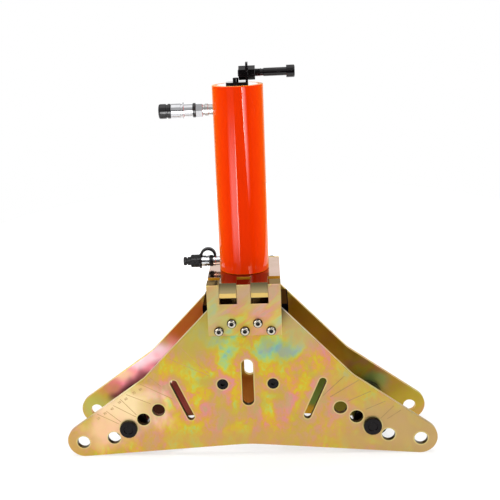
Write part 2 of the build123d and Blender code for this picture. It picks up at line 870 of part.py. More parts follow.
# Upper coupler: adaptor in the barrel's wall, body, bumper ring, locking sleeve and dust plug
upper_axis = Axis((0, 0, upper_port_z), (1, 0, 0))
upper_wall = -barrel_radius
thread_end = -(barrel_bore / 2 + port_setback)
adaptor_end = upper_wall - adaptor_length
stub_end = adaptor_end - adaptor_stub_length
hex_end = adaptor_end - coupler_hex_length
bumper_end = hex_end - bumper_width
body_end = bumper_end - coupler_body_length
sleeve_start = body_end + sleeve_length
plug_start = body_end - plug_gap
plug_end = plug_start - plug_length
with BuildPart() as upper_adaptor:
    with BuildSketch(Plane.XZ):
        turned_step(thread_end, upper_wall, port_thread / 2, upper_port_z)
        turned_step(upper_wall, adaptor_end, adaptor_neck / 2, upper_port_z)
        turned_step(
            upper_wall - adaptor_ring_start,
            upper_wall - adaptor_ring_start - adaptor_ring_width,
            adaptor_ring / 2,
            upper_port_z,
        )
        turned_step(adaptor_end, stub_end, adaptor_stub / 2, upper_port_z)
        turned_step(thread_end, stub_end, port_bore / 2, upper_port_z, mode=Mode.SUBTRACT)
    revolve(axis=upper_axis)
upper_adaptor.part.label = "upper_adaptor"

with BuildPart() as upper_coupler_body:
    with BuildSketch(Plane.YZ.offset(hex_end)):
        with Locations((0, upper_port_z)):
            RegularPolygon(coupler_hex / 2, 6, major_radius=False)
    extrude(amount=coupler_hex_length)
    with BuildSketch(Plane.XZ):
        turned_step(hex_end, bumper_end, bumper_seat / 2, upper_port_z)
        turned_step(bumper_end, body_end, coupler_body / 2, upper_port_z)
    revolve(axis=upper_axis)
    with BuildSketch(Plane.XZ):
        turned_step(adaptor_end, stub_end, adaptor_stub / 2, upper_port_z)
        turned_step(stub_end, body_end + plug_shank_length, port_bore / 2, upper_port_z)
        turned_step(body_end + plug_shank_length, body_end, plug_bore / 2, upper_port_z)
    revolve(axis=upper_axis, mode=Mode.SUBTRACT)
upper_coupler_body.part.label = "upper_coupler_body"

with BuildPart() as upper_bumper_ring:
    with BuildSketch(Plane.XZ):
        turned_step(hex_end, bumper_end, bumper_diameter / 2, upper_port_z)
        turned_step(hex_end, bumper_end, bumper_seat / 2, upper_port_z, mode=Mode.SUBTRACT)
    revolve(axis=upper_axis)
upper_bumper_ring.part.label = "upper_bumper_ring"

sleeve_bore = coupler_body + 2 * pin_clearance
sleeve_waist_end = sleeve_start - sleeve_length / 4
with BuildPart() as locking_sleeve:
    with BuildSketch(Plane.XZ):
        turned_step(sleeve_start, sleeve_start - sleeve_grip_width, sleeve_grip_diameter / 2, upper_port_z)
        turned_step(sleeve_start - sleeve_grip_width, sleeve_waist_end, sleeve_waist / 2, upper_port_z)
        turned_step(sleeve_waist_end, body_end, sleeve_diameter / 2, upper_port_z)
        turned_step(sleeve_start, body_end, sleeve_bore / 2, upper_port_z, mode=Mode.SUBTRACT)
    revolve(axis=upper_axis)
    fillet(
        locking_sleeve.edges().filter_by(GeomType.CIRCLE).group_by(Axis.X)[0].sort_by(SortBy.RADIUS)[-1],
        sleeve_nose_fillet,
    )
locking_sleeve.part.label = "locking_sleeve"

with BuildPart() as dust_plug:
    with BuildSketch(Plane.XZ):
        turned_step(plug_start, plug_end, plug_diameter / 2, upper_port_z)
        turned_step(
            plug_start,
            body_end + plug_shank_length - plug_gap,
            plug_bore / 2 - plug_clearance,
            upper_port_z,
        )
        with Locations(
            (
                plug_start - plug_groove_start - plug_groove_width / 2,
                upper_port_z + plug_diameter / 2 - plug_groove_depth / 2,
            )
        ):
            Rectangle(plug_groove_width, plug_groove_depth, mode=Mode.SUBTRACT)
    revolve(axis=upper_axis)
dust_plug.part.label = "dust_plug"

# Lower coupler: adaptor in the barrel's wall with the male body, and the strapped dust cap
lower_axis = Axis((0, 0, lower_port_z), (1, 0, 0))
lower_wall = -barrel_radius
lower_neck_end = lower_wall - lower_neck_length
lower_collar_end = lower_neck_end - lower_collar_width
loop_seat_end = lower_collar_end - loop_seat_width
lower_body_end = loop_seat_end - lower_body_length
lower_nose_end = lower_body_end - lower_nose_length
with BuildPart() as lower_coupler:
    with BuildSketch(Plane.XZ):
        turned_step(thread_end, lower_wall, port_thread / 2, lower_port_z)
        turned_step(lower_wall, lower_neck_end, lower_neck / 2, lower_port_z)
        turned_step(lower_neck_end, lower_collar_end, lower_collar / 2, lower_port_z)
        turned_step(lower_collar_end, loop_seat_end, loop_seat / 2, lower_port_z)
        turned_step(loop_seat_end, lower_body_end, lower_body / 2, lower_port_z)
        turned_step(lower_body_end, lower_nose_end, lower_nose / 2, lower_port_z)
        turned_step(thread_end, lower_nose_end, lower_bore / 2, lower_port_z, mode=Mode.SUBTRACT)
    revolve(axis=lower_axis)
lower_coupler.part.label = "lower_coupler"

cap_mouth = lower_body_end - cap_gap
cap_rim_end = cap_mouth - cap_rim_width
cap_body_end = cap_mouth - cap_body_length
cap_knob_end = cap_body_end - cap_knob_length
cap_hollow_end = lower_nose_end - cap_gap
loop_right = lower_collar_end - cap_gap
loop_left = loop_seat_end + cap_gap
strap_right = loop_right + strap_overhang
strap_left = cap_rim_end + strap_inset
strap_outer = (strap_right - strap_left) / 2
strap_inner = strap_outer - strap_thickness
strap_centre = (strap_right + strap_left) / 2
strap_foot_z = lower_port_z + lower_collar / 2 + cap_gap
with BuildPart() as dust_cap:
    with BuildSketch(Plane.XZ):
        turned_step(cap_mouth, cap_rim_end, cap_rim_diameter / 2, lower_port_z)
        turned_step(cap_rim_end, cap_body_end, cap_body_diameter / 2, lower_port_z)
        turned_step(cap_body_end, cap_knob_end, cap_knob_diameter / 2, lower_port_z)
        turned_step(
            cap_mouth,
            cap_hollow_end,
            lower_nose / 2 + cap_clearance,
            lower_port_z,
            mode=Mode.SUBTRACT,
        )
        with Locations(
            (
                cap_body_end - cap_waist_start - cap_waist_width / 2,
                lower_port_z + (cap_waist_diameter + cap_knob_diameter) / 4,
            )
        ):
            Rectangle(cap_waist_width, (cap_knob_diameter - cap_waist_diameter) / 2, mode=Mode.SUBTRACT)
    revolve(axis=lower_axis)
    with BuildSketch(Plane.XZ):
        turned_step(loop_right, loop_left, loop_diameter / 2, lower_port_z)
        turned_step(loop_right, loop_left, loop_seat / 2 + cap_clearance, lower_port_z, mode=Mode.SUBTRACT)
    revolve(axis=lower_axis)
    with BuildSketch(Plane.XZ.offset(-strap_width / 2)):
        with Locations((strap_centre, strap_foot_z)):
            Circle(strap_outer)
            Circle(strap_inner, mode=Mode.SUBTRACT)
        with Locations((strap_centre, strap_foot_z - strap_outer / 2)):
            Rectangle(2 * strap_outer, strap_outer, mode=Mode.SUBTRACT)
        section(loop_left, strap_right, strap_foot_z, strap_foot_z + strap_root)
    extrude(amount=strap_width)
    with BuildSketch(Plane.XZ):
        turned_step(cap_mouth, loop_left, lower_body / 2 + cap_gap, lower_port_z)
    revolve(axis=lower_axis, mode=Mode.SUBTRACT)
dust_cap.part.label = "dust_cap"

os.makedirs("parts", exist_ok=True)
pieces = [
    front_plate.part,
    rear_plate.part,
    guide_strips.part,
    guide_strip_screws.part,
    *bending_pins.values(),
    *rollers.values(),
    *roller_bushes.values(),
    hinge_bracket.part,
    bracket_screws.part,
    hinge_pin.part,
    cylinder_flange.part,
    rear_screws.part,
    barrel.part,
    top_cap.part,
    top_cap_seal.part,
    gland.part,
    wiper.part,
    rod_seal.part,
    gland_seal.part,
    piston.part,
    piston_seal.part,
    wear_ring.part,
    stop_tube.part,
    piston_rod.part,
    former.part,
    former_screw.part,
    stop_bracket.part,
    stop_bracket_screw.part,
    stop_bolt.part,
    stop_nuts.part,
    upper_adaptor.part,
    upper_coupler_body.part,
    upper_bumper_ring.part,
    locking_sleeve.part,
    dust_plug.part,
    lower_coupler.part,
    dust_cap.part,
]
for piece in pieces:
    export_step(piece, f"parts/{piece.label}.step")
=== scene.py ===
"""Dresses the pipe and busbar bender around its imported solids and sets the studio."""

from __future__ import annotations

import logging
import math
from collections.abc import Iterator, Sequence
from contextlib import contextmanager
from dataclasses import dataclass
from enum import Enum
from functools import reduce
from typing import ClassVar

import bpy
from mathutils import Matrix, Vector

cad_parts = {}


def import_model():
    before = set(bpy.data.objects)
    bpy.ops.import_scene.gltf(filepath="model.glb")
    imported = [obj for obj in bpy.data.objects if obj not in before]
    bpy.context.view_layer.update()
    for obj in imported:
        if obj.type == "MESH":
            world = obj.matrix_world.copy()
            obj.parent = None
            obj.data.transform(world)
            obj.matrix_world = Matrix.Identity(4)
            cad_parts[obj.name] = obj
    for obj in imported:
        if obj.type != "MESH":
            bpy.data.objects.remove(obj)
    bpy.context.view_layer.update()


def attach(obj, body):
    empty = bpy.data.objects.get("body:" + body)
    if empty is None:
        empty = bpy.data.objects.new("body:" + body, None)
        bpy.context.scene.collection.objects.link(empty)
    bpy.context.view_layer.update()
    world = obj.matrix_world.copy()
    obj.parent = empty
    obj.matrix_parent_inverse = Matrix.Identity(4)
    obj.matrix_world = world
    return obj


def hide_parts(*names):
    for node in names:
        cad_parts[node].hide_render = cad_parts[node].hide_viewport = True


log = logging.getLogger("bender")

Colour = tuple[float, float, float]
Point = tuple[float, float, float]
Pair = tuple[float, float]
Profile = Sequence[Pair]
Piece = bpy.types.Object
Material = bpy.types.Material
Socket = bpy.types.NodeSocket

# Modelling, with lengths in millimetres
MM = 0.001
SMOOTH_ANGLE = math.radians(32)
FLAT_ANGLE = math.radians(0.4)
MERGE_GAP = 0.002
FACE_WEIGHT = 100
HEXAGON = 6
OVERCUT = 1.0
SHANK_GAP = 0.02
ROUND_CORNER: Profile = ((0.0, 1.0), (0.3, 0.3), (1.0, 0.0))

# The curve from written colours to linear light
SRGB_KNEE = 0.04045
SRGB_SLOPE = 12.92
SRGB_LIFT = 0.055
SRGB_POWER = 2.4

# Values that several materials share
WHITE: Colour = (1.0, 1.0, 1.0)
FACING_SPAN = (0.9, 0.97)
NOISE_SPAN = (0.3, 0.7)
CLOUD_SPAN = (0.35, 0.65)


class Direction(Enum):
    """The row axis that a turned piece lies along."""

    X = (0.0, math.pi / 2, 0.0)
    Y = (-math.pi / 2, 0.0, 0.0)
    Z = (0.0, 0.0, 0.0)


class Body(Enum):
    """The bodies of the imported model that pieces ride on."""

    FRAME = "frame"
    RAM = "ram"
    PIN_LEFT = "pin_left"
    PIN_RIGHT = "pin_right"
    ROLLER_LEFT = "roller_left"
    ROLLER_RIGHT = "roller_right"
    SLEEVE = "sleeve"
    PLUG = "plug"
    CAP = "cap"


class Side(Enum):
    """The two hands of the bender, with the sign of X on each."""

    LEFT = -1
    RIGHT = 1


def linear(red: int, green: int, blue: int) -> Colour:
    """Turns a colour of 0 to 255 steps per channel into linear light.

    Args:
        red: Red step.
        green: Green step.
        blue: Blue step.

    Returns:
        The colour as three linear values.
    """

    def channel(step: int) -> float:
        """Turns one channel into linear light.

        Args:
            step: Its step.

        Returns:
            Its linear value.
        """
        share = step / 255
        if share <= SRGB_KNEE:
            return share / SRGB_SLOPE
        return ((share + SRGB_LIFT) / (1.0 + SRGB_LIFT)) ** SRGB_POWER

    return channel(red), channel(green), channel(blue)


def take(piece: Piece) -> None:
    """Makes a piece the only selected and active object.

    Args:
        piece: The object to work on.
    """
    bpy.ops.object.select_all(action="DESELECT")
    piece.select_set(True)
    bpy.context.view_layer.objects.active = piece


@contextmanager
def editing(piece: Piece) -> Iterator[None]:
    """Opens a piece in edit mode with everything selected.

    Args:
        piece: The object to edit.
    """
    take(piece)
    bpy.ops.object.mode_set(mode="EDIT")
    bpy.ops.mesh.select_all(action="SELECT")
    yield
    bpy.ops.object.mode_set(mode="OBJECT")


def settle(piece: Piece) -> None:
    """Moves a piece's place and turn into its mesh."""
    take(piece)
    bpy.ops.object.transform_apply(location=True, rotation=True, scale=True)


def named(name: str) -> Piece:
    """Names the object that was just made, and its mesh.

    Args:
        name: The name.

    Returns:
        The object.
    """
    piece = bpy.context.object
    piece.name = name
    piece.data.name = name
    return piece


def turned(
    name: str,
    profile: Profile,
    direction: Direction,
    centre: Point = (0.0, 0.0, 0.0),
    sides: int = 64,
    hollow: bool = False,
    roll: float = 0.0,
) -> Piece:
    """Turns a piece from its profile, ring by ring, as on a lathe.

    Args:
        name: The piece's name.
        profile: Places along the axis and radii there, in millimetres.
        direction: The axis that the piece lies along.
        centre: A point of that axis, in millimetres.
        sides: The number of sides of each ring.
        hollow: Whether the last ring joins the first one, as on a tube.
        roll: A turn about the axis, in radians.

    Returns:
        The new object.
    """
    start, radius = profile[0]
    bpy.ops.mesh.primitive_circle_add(
        vertices=sides,
        radius=radius * MM,
        fill_type="NOTHING" if hollow else "NGON",
    )
    piece = named(name)
    with editing(piece):
        bpy.ops.transform.translate(value=(0.0, 0.0, start * MM))
        for place, wide in profile[1:]:
            bpy.ops.mesh.extrude_region_move(
                TRANSFORM_OT_translate={"value": (0.0, 0.0, (place - start) * MM)}
            )
            share = wide / radius
            bpy.ops.transform.resize(
                value=(share, share, 1.0), center_override=(0.0, 0.0, place * MM)
            )
            start, radius = place, wide
        if hollow:
            bpy.ops.mesh.select_all(action="DESELECT")
            bpy.ops.mesh.select_mode(type="EDGE")
            bpy.ops.mesh.select_non_manifold(extend=False, use_boundary=True)
            bpy.ops.mesh.bridge_edge_loops()
        bpy.ops.mesh.select_all(action="SELECT")
        bpy.ops.mesh.normals_make_consistent(inside=False)
    piece.rotation_euler = Matrix.Rotation(roll, 3, "Z").to_euler()
    settle(piece)
    piece.rotation_euler = direction.value
    piece.location = Vector(centre) * MM
    settle(piece)
    return piece


def block(name: str, low: Point, high: Point) -> Piece:
    """Adds a block between two corners.

    Args:
        name: The piece's name.
        low: The lowest corner, in millimetres.
        high: The highest corner, in millimetres.

    Returns:
        The new object.
    """
    first, second = Vector(low) * MM, Vector(high) * MM
    bpy.ops.mesh.primitive_cube_add(size=1.0, location=(first + second) / 2)
    piece = named(name)
    with editing(piece):
        bpy.ops.transform.resize(value=second - first, center_override=(first + second) / 2)
    settle(piece)
    return piece


def finish_modifier(piece: Piece, modifier: bpy.types.Modifier) -> None:
    """Applies one modifier of a piece."""
    take(piece)
    bpy.ops.object.modifier_apply(modifier=modifier.name)


def round_edges(piece: Piece, width: float, segments: int = 2, angle: float = 30.0) -> None:
    """Breaks the sharp edges of a piece.

    Args:
        piece: The object to work on.
        width: The width of the break, in millimetres.
        segments: The number of steps across it.
        angle: The least angle of an edge that is broken, in degrees.
    """
    bevel = piece.modifiers.new("broken_edges", "BEVEL")
    bevel.width = width * MM
    bevel.segments = segments
    bevel.limit_method = "ANGLE"
    bevel.angle_limit = math.radians(angle)
    bevel.use_clamp_overlap = True
    bevel.harden_normals = False
    finish_modifier(piece, bevel)


def smooth(piece: Piece) -> None:
    """Shades a piece smooth, apart from its sharp edges.

    Args:
        piece: The object to shade.
    """
    take(piece)
    bpy.ops.object.shade_smooth_by_angle(angle=SMOOTH_ANGLE)
    flat = piece.modifiers.new("flat_faces", "WEIGHTED_NORMAL")
    flat.mode = "FACE_AREA"
    flat.weight = FACE_WEIGHT
    flat.keep_sharp = True
    finish_modifier(piece, flat)


def cut(piece: Piece, tool: Piece) -> None:
    """Cuts one piece with another and takes the tool away.

    Args:
        piece: The object that is cut.
        tool: The object that cuts it.
    """
    boolean = piece.modifiers.new("cut", "BOOLEAN")
    boolean.operation = "DIFFERENCE"
    boolean.solver = "EXACT"
    boolean.object = tool
    finish_modifier(piece, boolean)
    bpy.data.objects.remove(tool, do_unlink=True)


def drill(
    piece: Piece,
    radius: float,
    reach: Pair,
    direction: Direction,
    centre: Point,
    sides: int,
) -> None:
    """Drills a straight hole, or cuts a socket where the hole has six sides.

    Args:
        piece: The object that is drilled.
        radius: The radius to the hole's corners, in millimetres.
        reach: Where the hole starts and ends along its axis, in millimetres.
        direction: The axis that the hole lies along.
        centre: A point of that axis, in millimetres.
        sides: The number of the hole's sides.
    """
    cut(piece, turned("drill", [(place, radius) for place in reach], direction, centre, sides))


def near_edge(place: float, radius: float, size: float) -> Profile:
    """Gives the two rings of a chamfer where a profile's step starts, in millimetres."""
    return (place, radius - size), (place + size, radius)


def far_edge(place: float, radius: float, size: float) -> Profile:
    """Gives the two rings of a chamfer where a profile's step stops, in millimetres."""
    return (place - size, radius), (place, radius - size)


def hexagon_radius(across_flats: float) -> float:
    """Gives the corner radius of a hexagon, in the unit of its width across flats."""
    return across_flats / 2 / math.cos(math.pi / 6)


def copied(piece: Piece, name: str, shift: Point) -> Piece:
    """Copies a piece with a mesh of its own, moved by a step.

    Args:
        piece: The object to copy.
        name: The copy's name.
        shift: The step, in millimetres.

    Returns:
        The copy.
    """
    twin = bpy.data.objects.new(name, piece.data.copy())
    bpy.context.scene.collection.objects.link(twin)
    twin.location = Vector(shift) * MM
    settle(twin)
    return twin


def joined(name: str, pieces: Sequence[Piece]) -> Piece:
    """Joins several objects into one.

    Args:
        name: The name of the joined piece.
        pieces: The objects, of which the first one stays.

    Returns:
        The joined object.
    """
    bpy.ops.object.select_all(action="DESELECT")
    for piece in pieces:
        piece.select_set(True)
    bpy.context.view_layer.objects.active = pieces[0]
    bpy.ops.object.join()
    return named(name)


def solid_copy(node: str, name: str, edge: float) -> Piece:
    """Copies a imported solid, merges its triangles and breaks its edges.

    Args:
        node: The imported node.
        name: The new piece's name.
        edge: The width of the broken edge, in millimetres.

    Returns:
        The new object.
    """
    piece = bpy.data.objects.new(name, bpy.data.objects[node].data.copy())
    bpy.context.scene.collection.objects.link(piece)
    with editing(piece):
        bpy.ops.mesh.remove_doubles(threshold=MERGE_GAP * MM)
        bpy.ops.mesh.dissolve_limited(angle_limit=FLAT_ANGLE)
        bpy.ops.mesh.normals_make_consistent(inside=False)
    round_edges(piece, edge)
    return piece


def seat(piece: Piece, body: Body, finish: Finish, replaces: Sequence[str] = ()) -> None:
    """Gives a finished piece its material, its body and the nodes it stands for.

    Args:
        piece: The finished object.
        body: The body that it rides on.
        finish: Its finish.
        replaces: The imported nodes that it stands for.
    """
    smooth(piece)
    piece.data.materials.clear()
    piece.data.materials.append(finish.material())
    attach(piece, body.value)
    if replaces:
        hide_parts(*replaces)
    log.info("piece %s on %s, %d faces", piece.name, body.value, len(piece.data.polygons))


def dress(node: str, name: str, edge: float, body: Body, finish: Finish) -> None:
    """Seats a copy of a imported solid, with its edges broken, in the solid's place."""
    seat(solid_copy(node, name, edge), body, finish, [node])


def paint_node(node: str, finish: Finish) -> None:
    """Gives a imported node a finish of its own.

    Args:
        node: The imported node.
        finish: Its finish.
    """
    solid = bpy.data.objects[node]
    solid.data.materials.clear()
    solid.data.materials.append(finish.material())
    log.info("node %s kept", node)


class Graph:
    """A small writer of shader nodes for a material or a world."""

    MIX_INPUTS: ClassVar[tuple[int, ...]] = (0, 6, 7)
    MIX_OUTPUT: ClassVar[int] = 2

    def __init__(self, owner: Material | bpy.types.World, coordinates: str = "Object") -> None:
        """Empties the owner's nodes and starts again from its output.

        Args:
            owner: The material or world.
            coordinates: The kind of coordinates that the patterns read.
        """
        owner.use_nodes = True
        self.owner = owner
        self.tree = owner.node_tree
        self.tree.nodes.clear()
        kind = "World" if isinstance(owner, bpy.types.World) else "Material"
        self.output = self.tree.nodes.new(f"ShaderNodeOutput{kind}").inputs["Surface"]
        self.place = self.tree.nodes.new("ShaderNodeTexCoord").outputs[coordinates]

    def put(self, socket: Socket, value: object) -> None:
        """Links a socket or sets its constant.

        Args:
            socket: The input socket.
            value: Another socket, a number, a colour or a vector.
        """
        if isinstance(value, Socket):
            self.tree.links.new(value, socket)
        elif socket.type == "RGBA":
            socket.default_value = (*value, 1.0)
        else:
            socket.default_value = value

    def node(self, kind: str, *values: object) -> Socket:
        """Adds a node and fills its sockets in their order.

        Args:
            kind: The node's kind, such as Emission, MixShader or CombineXYZ.
            *values: The values of its first sockets.

        Returns:
            Its output.
        """
        node = self.tree.nodes.new(f"ShaderNode{kind}")
        for socket, value in zip(node.inputs, values):
            self.put(socket, value)
        return node.outputs[0]

    def moved(
        self,
        scale: Point = (1.0, 1.0, 1.0),
        shift: Point = (0.0, 0.0, 0.0),
        turn: Point = (0.0, 0.0, 0.0),
        at: Socket | None = None,
    ) -> Socket:
        """Gives coordinates scaled, turned and shifted.

        Args:
            scale: The scale along each axis.
            shift: The shift along each axis, in metres.
            turn: The turn about each axis, in radians.
            at: The coordinates to map, or the object's own.

        Returns:
            The mapped coordinates.
        """
        mapping = self.tree.nodes.new("ShaderNodeMapping")
        self.put(mapping.inputs["Vector"], self.place if at is None else at)
        self.put(mapping.inputs["Location"], shift)
        self.put(mapping.inputs["Rotation"], turn)
        self.put(mapping.inputs["Scale"], scale)
        return mapping.outputs["Vector"]

    def noise(
        self, scale: float, detail: float = 3.0, warp: float = 0.0, at: Socket | None = None
    ) -> Socket:
        """Adds a noise pattern.

        Args:
            scale: Its repeats per metre.
            detail: Its levels of detail.
            warp: Its distortion.
            at: Its coordinates, or the object's own.

        Returns:
            The noise value.
        """
        node = self.tree.nodes.new("ShaderNodeTexNoise")
        self.put(node.inputs["Vector"], self.place if at is None else at)
        self.put(node.inputs["Scale"], scale)
        self.put(node.inputs["Detail"], detail)
        self.put(node.inputs["Distortion"], warp)
        return node.outputs["Fac"]

    def ramp(self, value: Socket, stops: Sequence[tuple[float, Colour]]) -> Socket:
        """Adds a colour ramp.

        Args:
            value: The value that runs along the ramp.
            stops: The places and colours of its stops.

        Returns:
            The colour.
        """
        node = self.tree.nodes.new("ShaderNodeValToRGB")
        self.put(node.inputs["Fac"], value)
        elements = node.color_ramp.elements
        while len(elements) < len(stops):
            elements.new(0.5)
        for element, (place, colour) in zip(elements, stops):
            element.position = place
            element.color = (*colour, 1.0)
        return node.outputs["Color"]

    def span(
        self, value: Socket, low: float, high: float, first: float = 0.0, last: float = 1.0
    ) -> Socket:
        """Maps a value smoothly from one range to another.

        Args:
            value: The value to map.
            low: The start of its range.
            high: The end of its range.
            first: The result at the start.
            last: The result at the end.

        Returns:
            The mapped value.
        """
        node = self.tree.nodes.new("ShaderNodeMapRange")
        node.interpolation_type = "SMOOTHSTEP"
        for name, number in (("From Min", low), ("From Max", high), ("To Min", first), ("To Max", last)):
            self.put(node.inputs[name], number)
        self.put(node.inputs["Value"], value)
        return node.outputs["Result"]

    def band(self, distance: Socket, limits: Pair, weight: float) -> Socket:
        """Fades a weight out over a distance whose limits are in millimetres."""
        return self.span(distance, limits[0] * MM, limits[1] * MM, weight, 0.0)

    def math(self, operation: str, first: object, second: object = 0.0, third: object = 0.0) -> Socket:
        """Adds one arithmetic step.

        Args:
            operation: The name of the operation.
            first: Its first value.
            second: Its second value.
            third: Its third value, where it has one.

        Returns:
            The result.
        """
        node = self.tree.nodes.new("ShaderNodeMath")
        node.operation = operation
        for socket, value in zip(node.inputs, (first, second, third)):
            self.put(socket, value)
        return node.outputs["Value"]

    def vector(self, operation: str, first: object, second: object = (0.0, 0.0, 0.0)) -> Socket:
        """Adds one vector step.

        Args:
            operation: The name of the operation.
            first: Its first vector.
            second: Its second vector, or the number that scales the first.

        Returns:
            The result, a vector, or a number for a distance, a length or a product.
        """
        node = self.tree.nodes.new("ShaderNodeVectorMath")
        node.operation = operation
        self.put(node.inputs[0], first)
        self.put(node.inputs["Scale" if operation == "SCALE" else 1], second)
        number = operation in ("DISTANCE", "DOT_PRODUCT", "LENGTH")
        return node.outputs["Value" if number else "Vector"]

    def mix(self, share: object, first: object, second: object) -> Socket:
        """Mixes two colours.

        Args:
            share: How much of the second colour shows.
            first: The first colour.
            second: The second colour.

        Returns:
            The colour.
        """
        node = self.tree.nodes.new("ShaderNodeMix")
        node.data_type = "RGBA"
        for socket, value in zip(self.MIX_INPUTS, (share, first, second)):
            self.put(node.inputs[socket], value)
        return node.outputs[self.MIX_OUTPUT]

    def split(self, vector: Socket) -> tuple[Socket, ...]:
        """Splits a vector into its three parts.

        Args:
            vector: The vector.

        Returns:
            Its X, Y and Z.
        """
        node = self.tree.nodes.new("ShaderNodeSeparateXYZ")
        self.put(node.inputs[0], vector)
        return tuple(node.outputs)

    def least(self, values: Sequence[Socket]) -> Socket:
        """Gives the least of some values."""
        return reduce(lambda first, second: self.math("MINIMUM", first, second), values)

    def bump(self, height: Socket, strength: float, distance: float) -> Socket:
        """Turns a height into a bumped normal.

        Args:
            height: The height pattern.
            strength: Its strength.
            distance: Its depth, in millimetres.

        Returns:
            The normal.
        """
        node = self.tree.nodes.new("ShaderNodeBump")
        self.put(node.inputs["Height"], height)
        self.put(node.inputs["Strength"], strength)
        self.put(node.inputs["Distance"], distance * MM)
        return node.outputs["Normal"]

    def surface(self, **values: object) -> Material:
        """Adds the shader and closes the material.

        Args:
            **values: Socket names, with underscores for spaces, and their values.

        Returns:
            The finished material.
        """
        shader = self.tree.nodes.new("ShaderNodeBsdfPrincipled")
        for name, value in values.items():
            self.put(shader.inputs[name.replace("_", " ").title().replace("Ior", "IOR")], value)
        self.put(self.output, shader.outputs["BSDF"])
        return self.owner

    def facing(self, axis: int, way: float) -> Socket:
        """Adds a mask of the faces that look one way along axis 0, 1 or 2 of the object."""
        normal = self.tree.nodes.new("ShaderNodeTexCoord").outputs["Normal"]
        return self.span(self.math("MULTIPLY", self.split(normal)[axis], way), *FACING_SPAN)

    def rays(self, *kinds: str) -> Socket:
        """Adds a test for some kinds of ray.

        Args:
            *kinds: The kinds, such as Camera, Glossy or Transmission.

        Returns:
            One for such a ray, and otherwise nought.
        """
        path = self.tree.nodes.new("ShaderNodeLightPath")
        value = path.outputs[f"Is {kinds[0]} Ray"]
        for kind in kinds[1:]:
            value = self.math("MAXIMUM", value, path.outputs[f"Is {kind} Ray"])
        return value


def new_graph(name: str) -> Graph:
    """Starts the nodes of a new material by name."""
    return Graph(bpy.data.materials.new(name))


class Finish:
    """A finish that makes its material once."""

    made: ClassVar[dict[str, Material]] = {}
    name: str
    slot: str
    roughness: float
    rough_swing: Pair

    def rough(self, graph: Graph, pattern: Socket) -> Socket:
        """Lets the roughness follow a pattern, within its swing."""
        low, high = (self.roughness + step for step in self.rough_swing)
        return graph.span(pattern, *NOISE_SPAN, low, high)

    def material(self) -> Material:
        """Gives the finish's material, made on first use.

        Returns:
            The material.
        """
        if self.name not in self.made:
            self.made[self.name] = self.make()
        return self.made[self.name]

    def make(self) -> Material:
        """Makes the material."""
        raise NotImplementedError


@dataclass(frozen=True)
class PlateOpenings:
    """The openings of a side plate that the plating's rims follow, in millimetres."""

    rounds: tuple[tuple[float, float, float], ...] = (
        (262.0, 24.4, 10.0),
        (212.8, 31.4, 10.0),
        (188.5, 46.9, 13.8),
        (164.2, 62.4, 10.0),
        (139.9, 77.8, 10.0),
        (38.5, 119.4, 8.5),
    )
    slots: tuple[tuple[float, float, float, float, float], ...] = (
        (0.0, 121.8, 0.0, 28.95, 8.75),
        (101.85, 93.7, 23.1, 30.45, 5.5),
    )

    def distance(self, graph: Graph) -> Socket:
        """Adds the distance from a point of the plate to its nearest opening.

        Args:
            graph: The material's nodes.

        Returns:
            The distance in metres.
        """
        across, _, height = graph.split(graph.place)
        place = graph.node("CombineXYZ", graph.math("ABSOLUTE", across), 0.0, height)
        gaps = []
        for x, z, radius in self.rounds:
            reach = graph.vector("DISTANCE", place, (x * MM, 0.0, z * MM))
            gaps.append(graph.math("SUBTRACT", reach, radius * MM))
        for x, z, lean, half, radius in self.slots:
            along = (math.sin(math.radians(lean)), 0.0, math.cos(math.radians(lean)))
            offset = graph.vector("SUBTRACT", place, (x * MM, 0.0, z * MM))
            run = graph.vector("DOT_PRODUCT", offset, along)
            run = graph.math("MAXIMUM", graph.math("MINIMUM", run, half * MM), -half * MM)
            reach = graph.vector("DISTANCE", offset, graph.vector("SCALE", along, run))
            gaps.append(graph.math("SUBTRACT", reach, radius * MM))
        return graph.least(gaps)


@dataclass(frozen=True)
class Spot:
    """A soft-edged place on a plate, by its centre and reach in millimetres."""

    x: float
    z: float
    wide: float
    high: float
    core: float = 0.2
    edge: float = 1.25
    ragged: float = 0.35
    fray_span: Pair = (0.25, 0.75)

    def mask(self, graph: Graph, fray: Socket) -> Socket:
        """Adds the spot's mask.

        Args:
            graph: The material's nodes.
            fray: The noise that frays the spot's edge.

        Returns:
            One inside the spot, and nought outside.
        """
        scale = (1.0 / (self.wide * MM), 0.0, 1.0 / (self.high * MM))
        centre = (-self.x / self.wide, 0.0, -self.z / self.high)
        reach = graph.vector("LENGTH", graph.moved(scale=scale, shift=centre))
        frayed = graph.math("ADD", reach, graph.span(fray, *self.fray_span, -self.ragged, self.ragged))
        return graph.span(frayed, self.core, self.edge, 1.0, 0.0)


# The plating's colours by the thickness of its film, then those of its veils, rims and walls. The shadow,
# maroon, olive and wine colours, the walls' colour and the dark brown tint are painted shade, and the pale
# pink is a painted highlight.
FILM_ORDER = (
    (0.0, linear(122, 178, 186)),
    (0.12, linear(136, 198, 162)),
    (0.27, linear(172, 204, 116)),
    (0.4, linear(204, 200, 70)),
    (0.52, linear(216, 184, 40)),
    (0.64, linear(218, 164, 66)),
    (0.76, linear(222, 148, 106)),
    (0.88, linear(222, 138, 142)),
    (1.0, linear(202, 156, 126)),
)
KHAKI = linear(188, 168, 80)
BEIGE = linear(192, 172, 118)
TAN = linear(200, 162, 90)
DULL_TAN = linear(190, 158, 102)
CREAM = linear(252, 226, 178)
PEACH = linear(246, 200, 158)
RIM = linear(222, 214, 140)
MAROON_SHADE = linear(92, 30, 24)
UMBER = linear(172, 122, 24)
OLIVE_SHADE = linear(104, 96, 20)
WALL_SHADE = linear(60, 38, 18)
SHADOW = linear(16, 10, 7)
SHADE_BROWN: Colour = (0.12, 0.05, 0.02)
PALE_PINK_HIGHLIGHT = linear(255, 226, 234)
WINE_SHADE = linear(108, 54, 54)


